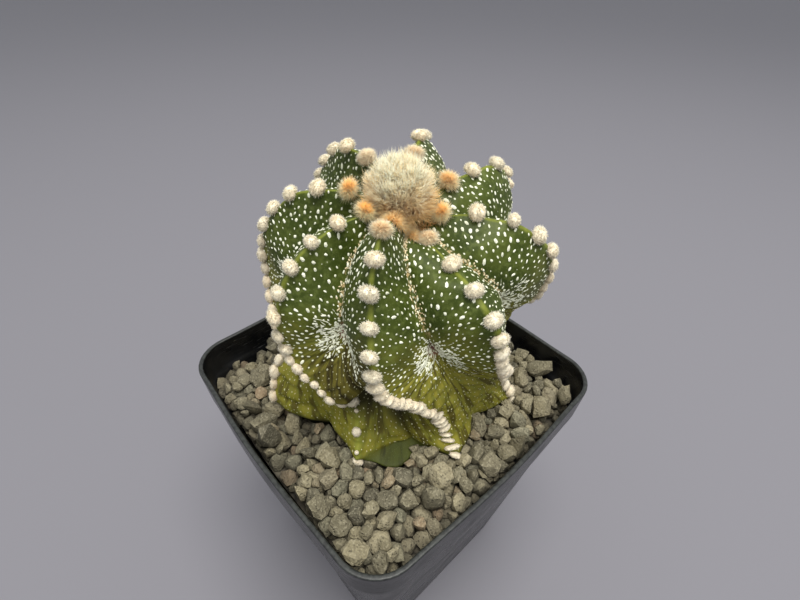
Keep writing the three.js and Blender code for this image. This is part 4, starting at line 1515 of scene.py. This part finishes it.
def grit_planes(random):
    """Normals and distances of the planes of every small stone."""
    count = len(grit_radius)
    own = unit(random.normal(size=(count, OWN_PLANES, 3)))
    axes = unit(random.normal(size=(count, 1, 3)))
    squash = 1.30 - 0.66 * np.abs((own * axes).sum(axis=-1))
    own_distance = grit_radius[:, None] * squash * random.uniform(0.82, 1.15, (count, OWN_PLANES))
    apart = grit_centre[None] - grit_centre[:, None]
    distance = np.linalg.norm(apart, axis=-1) + np.eye(count) * 99
    nearest = np.argsort(distance, axis=1)[:, :NEIGHBOURS]
    rows = np.arange(count)[:, None]
    between = distance[rows, nearest]
    share = (between ** 2 + grit_radius[:, None] ** 2 - grit_radius[nearest] ** 2) / (2 * between)
    towards = apart[rows, nearest] / between[..., None]
    stem_gap, stem_way = stem_distance(grit_centre)
    wall_gap, wall_way = wall_distance(grit_centre)
    stone_gaps, stone_ways = stone_distance(grit_centre)
    closest = np.argsort(stone_gaps, axis=0)[:4]
    picked = np.arange(count)[None]
    normals = [own, towards, -stem_way[:, None], wall_way[:, None],
               -np.moveaxis(stone_ways[closest, picked], 0, 1), np.tile([[[0, 0, -1.0]]], (count, 1, 1))]
    distances = [own_distance, share, stem_gap[:, None], wall_gap[:, None],
                 stone_gaps[closest, picked].T, (grit_centre[:, 2] - BED_TOP)[:, None] + 0.1]
    return np.concatenate(normals, axis=1), np.maximum(np.concatenate(distances, axis=1), 0.35)


def pebble_directions():
    """42 even directions and the 80 triangles between them: an icosahedron cut up once."""
    mesh = bmesh.new()
    bmesh.ops.create_icosphere(mesh, subdivisions=2, radius=1)
    directions = np.array([vertex.co for vertex in mesh.verts])
    faces = np.array([[vertex.index for vertex in face.verts] for face in mesh.faces])
    mesh.free()
    return unit(directions), faces


pebble, pebble_faces = pebble_directions()
turn_random = np.random.default_rng(45)
first = unit(turn_random.normal(size=(len(grit_radius), 3)))
second = unit(np.cross(first, turn_random.normal(size=first.shape)))
pebble_turn = np.stack([first, second, np.cross(first, second)], axis=1)
grit_directions = np.einsum("mk,nkd->nmd", pebble, pebble_turn)
grit_normals, grit_distances = grit_planes(np.random.default_rng(42))
grit_reach = stone_reach(grit_directions, grit_normals, grit_distances)
grit_reach = grit_reach * turn_random.uniform(0.95, 1.03, grit_reach.shape)
grit_points = grit_centre[:, None] + grit_directions * grit_reach[..., None]
grit_tone = np.random.default_rng(44).random(len(grit_radius))
grit = make_piece("small_grit", grit_points.reshape(-1, 3),
                  [copies(pebble_faces, len(grit_radius), len(pebble))], "grit",
                  tone=np.repeat(grit_tone, len(pebble)))
grit.data.set_sharp_from_angle(angle=SHARP_EDGE)

# %% [markdown]
# The stone is a pale volcanic grit. Most of it is greyish beige, some is creamier, and a few stones are
# pinkish brown or grey-green. A number from 0 to 1 on each small stone picks its colour from a ramp.
# Every stone is speckled with darker grains and pitted, and the pits are darker. Low down, towards the
# bed, the stones are painted darker: painted shade in the gaps between them.

# %% Finish the stones
STONE_COLOURS = ((0.0, (0.09, 0.083, 0.055)), (0.15, (0.15, 0.136, 0.086)), (0.45, (0.225, 0.198, 0.120)),
                 (0.65, (0.34, 0.300, 0.190)), (0.80, (0.16, 0.155, 0.103)), (0.90, (0.24, 0.188, 0.112)),
                 (1.0, (0.33, 0.232, 0.14)))


def stone_finish(name, tone):
    """Pitted stone. tone is a number from 0 to 1, or None to read it from the mesh."""
    finish = Finish(name)
    tone = finish.marked("tone") if tone is None else tone
    base = finish.node("ShaderNodeValToRGB", {"stops": STONE_COLOURS}, {0: tone})
    speckle = finish.noise(0.55, 4)
    patch = finish.noise(2.2, 3)
    pits = 1 - finish.cells(0.8).rise(0.10, 0.36)
    # Darker low down: painted shade in the gaps between the stones.
    painted_gap_shade = 1 - finish.height().rise((GRIT_LEVEL - 3) * MM, (GRIT_LEVEL + 1.5) * MM)
    colour = finish.coats(base,
                          (speckle.rise(0.48, 0.70) * 0.55, (0.12, 0.105, 0.07)),
                          ((1 - speckle).rise(0.50, 0.68) * 0.45, (0.46, 0.42, 0.30)),
                          (patch.rise(0.45, 0.75) * 0.30, (0.38, 0.345, 0.235)),
                          (pits * 0.45, (0.09, 0.078, 0.05)),
                          (painted_gap_shade * 0.7, (0.06, 0.052, 0.035)))
    return finish.done(colour, 0.92, 0.5 * (1 - speckle) + 0.45 * patch - 0.22 * pits)


paint(grit, stone_finish("loose_grit", None))
stone_finishes = [stone_finish(f"stone_tone_{k}", tone) for k, tone in enumerate((0.45, 0.65, 0.80))]
for number, piece in enumerate(stone_pieces):
    paint(piece, stone_finishes[number % 3])
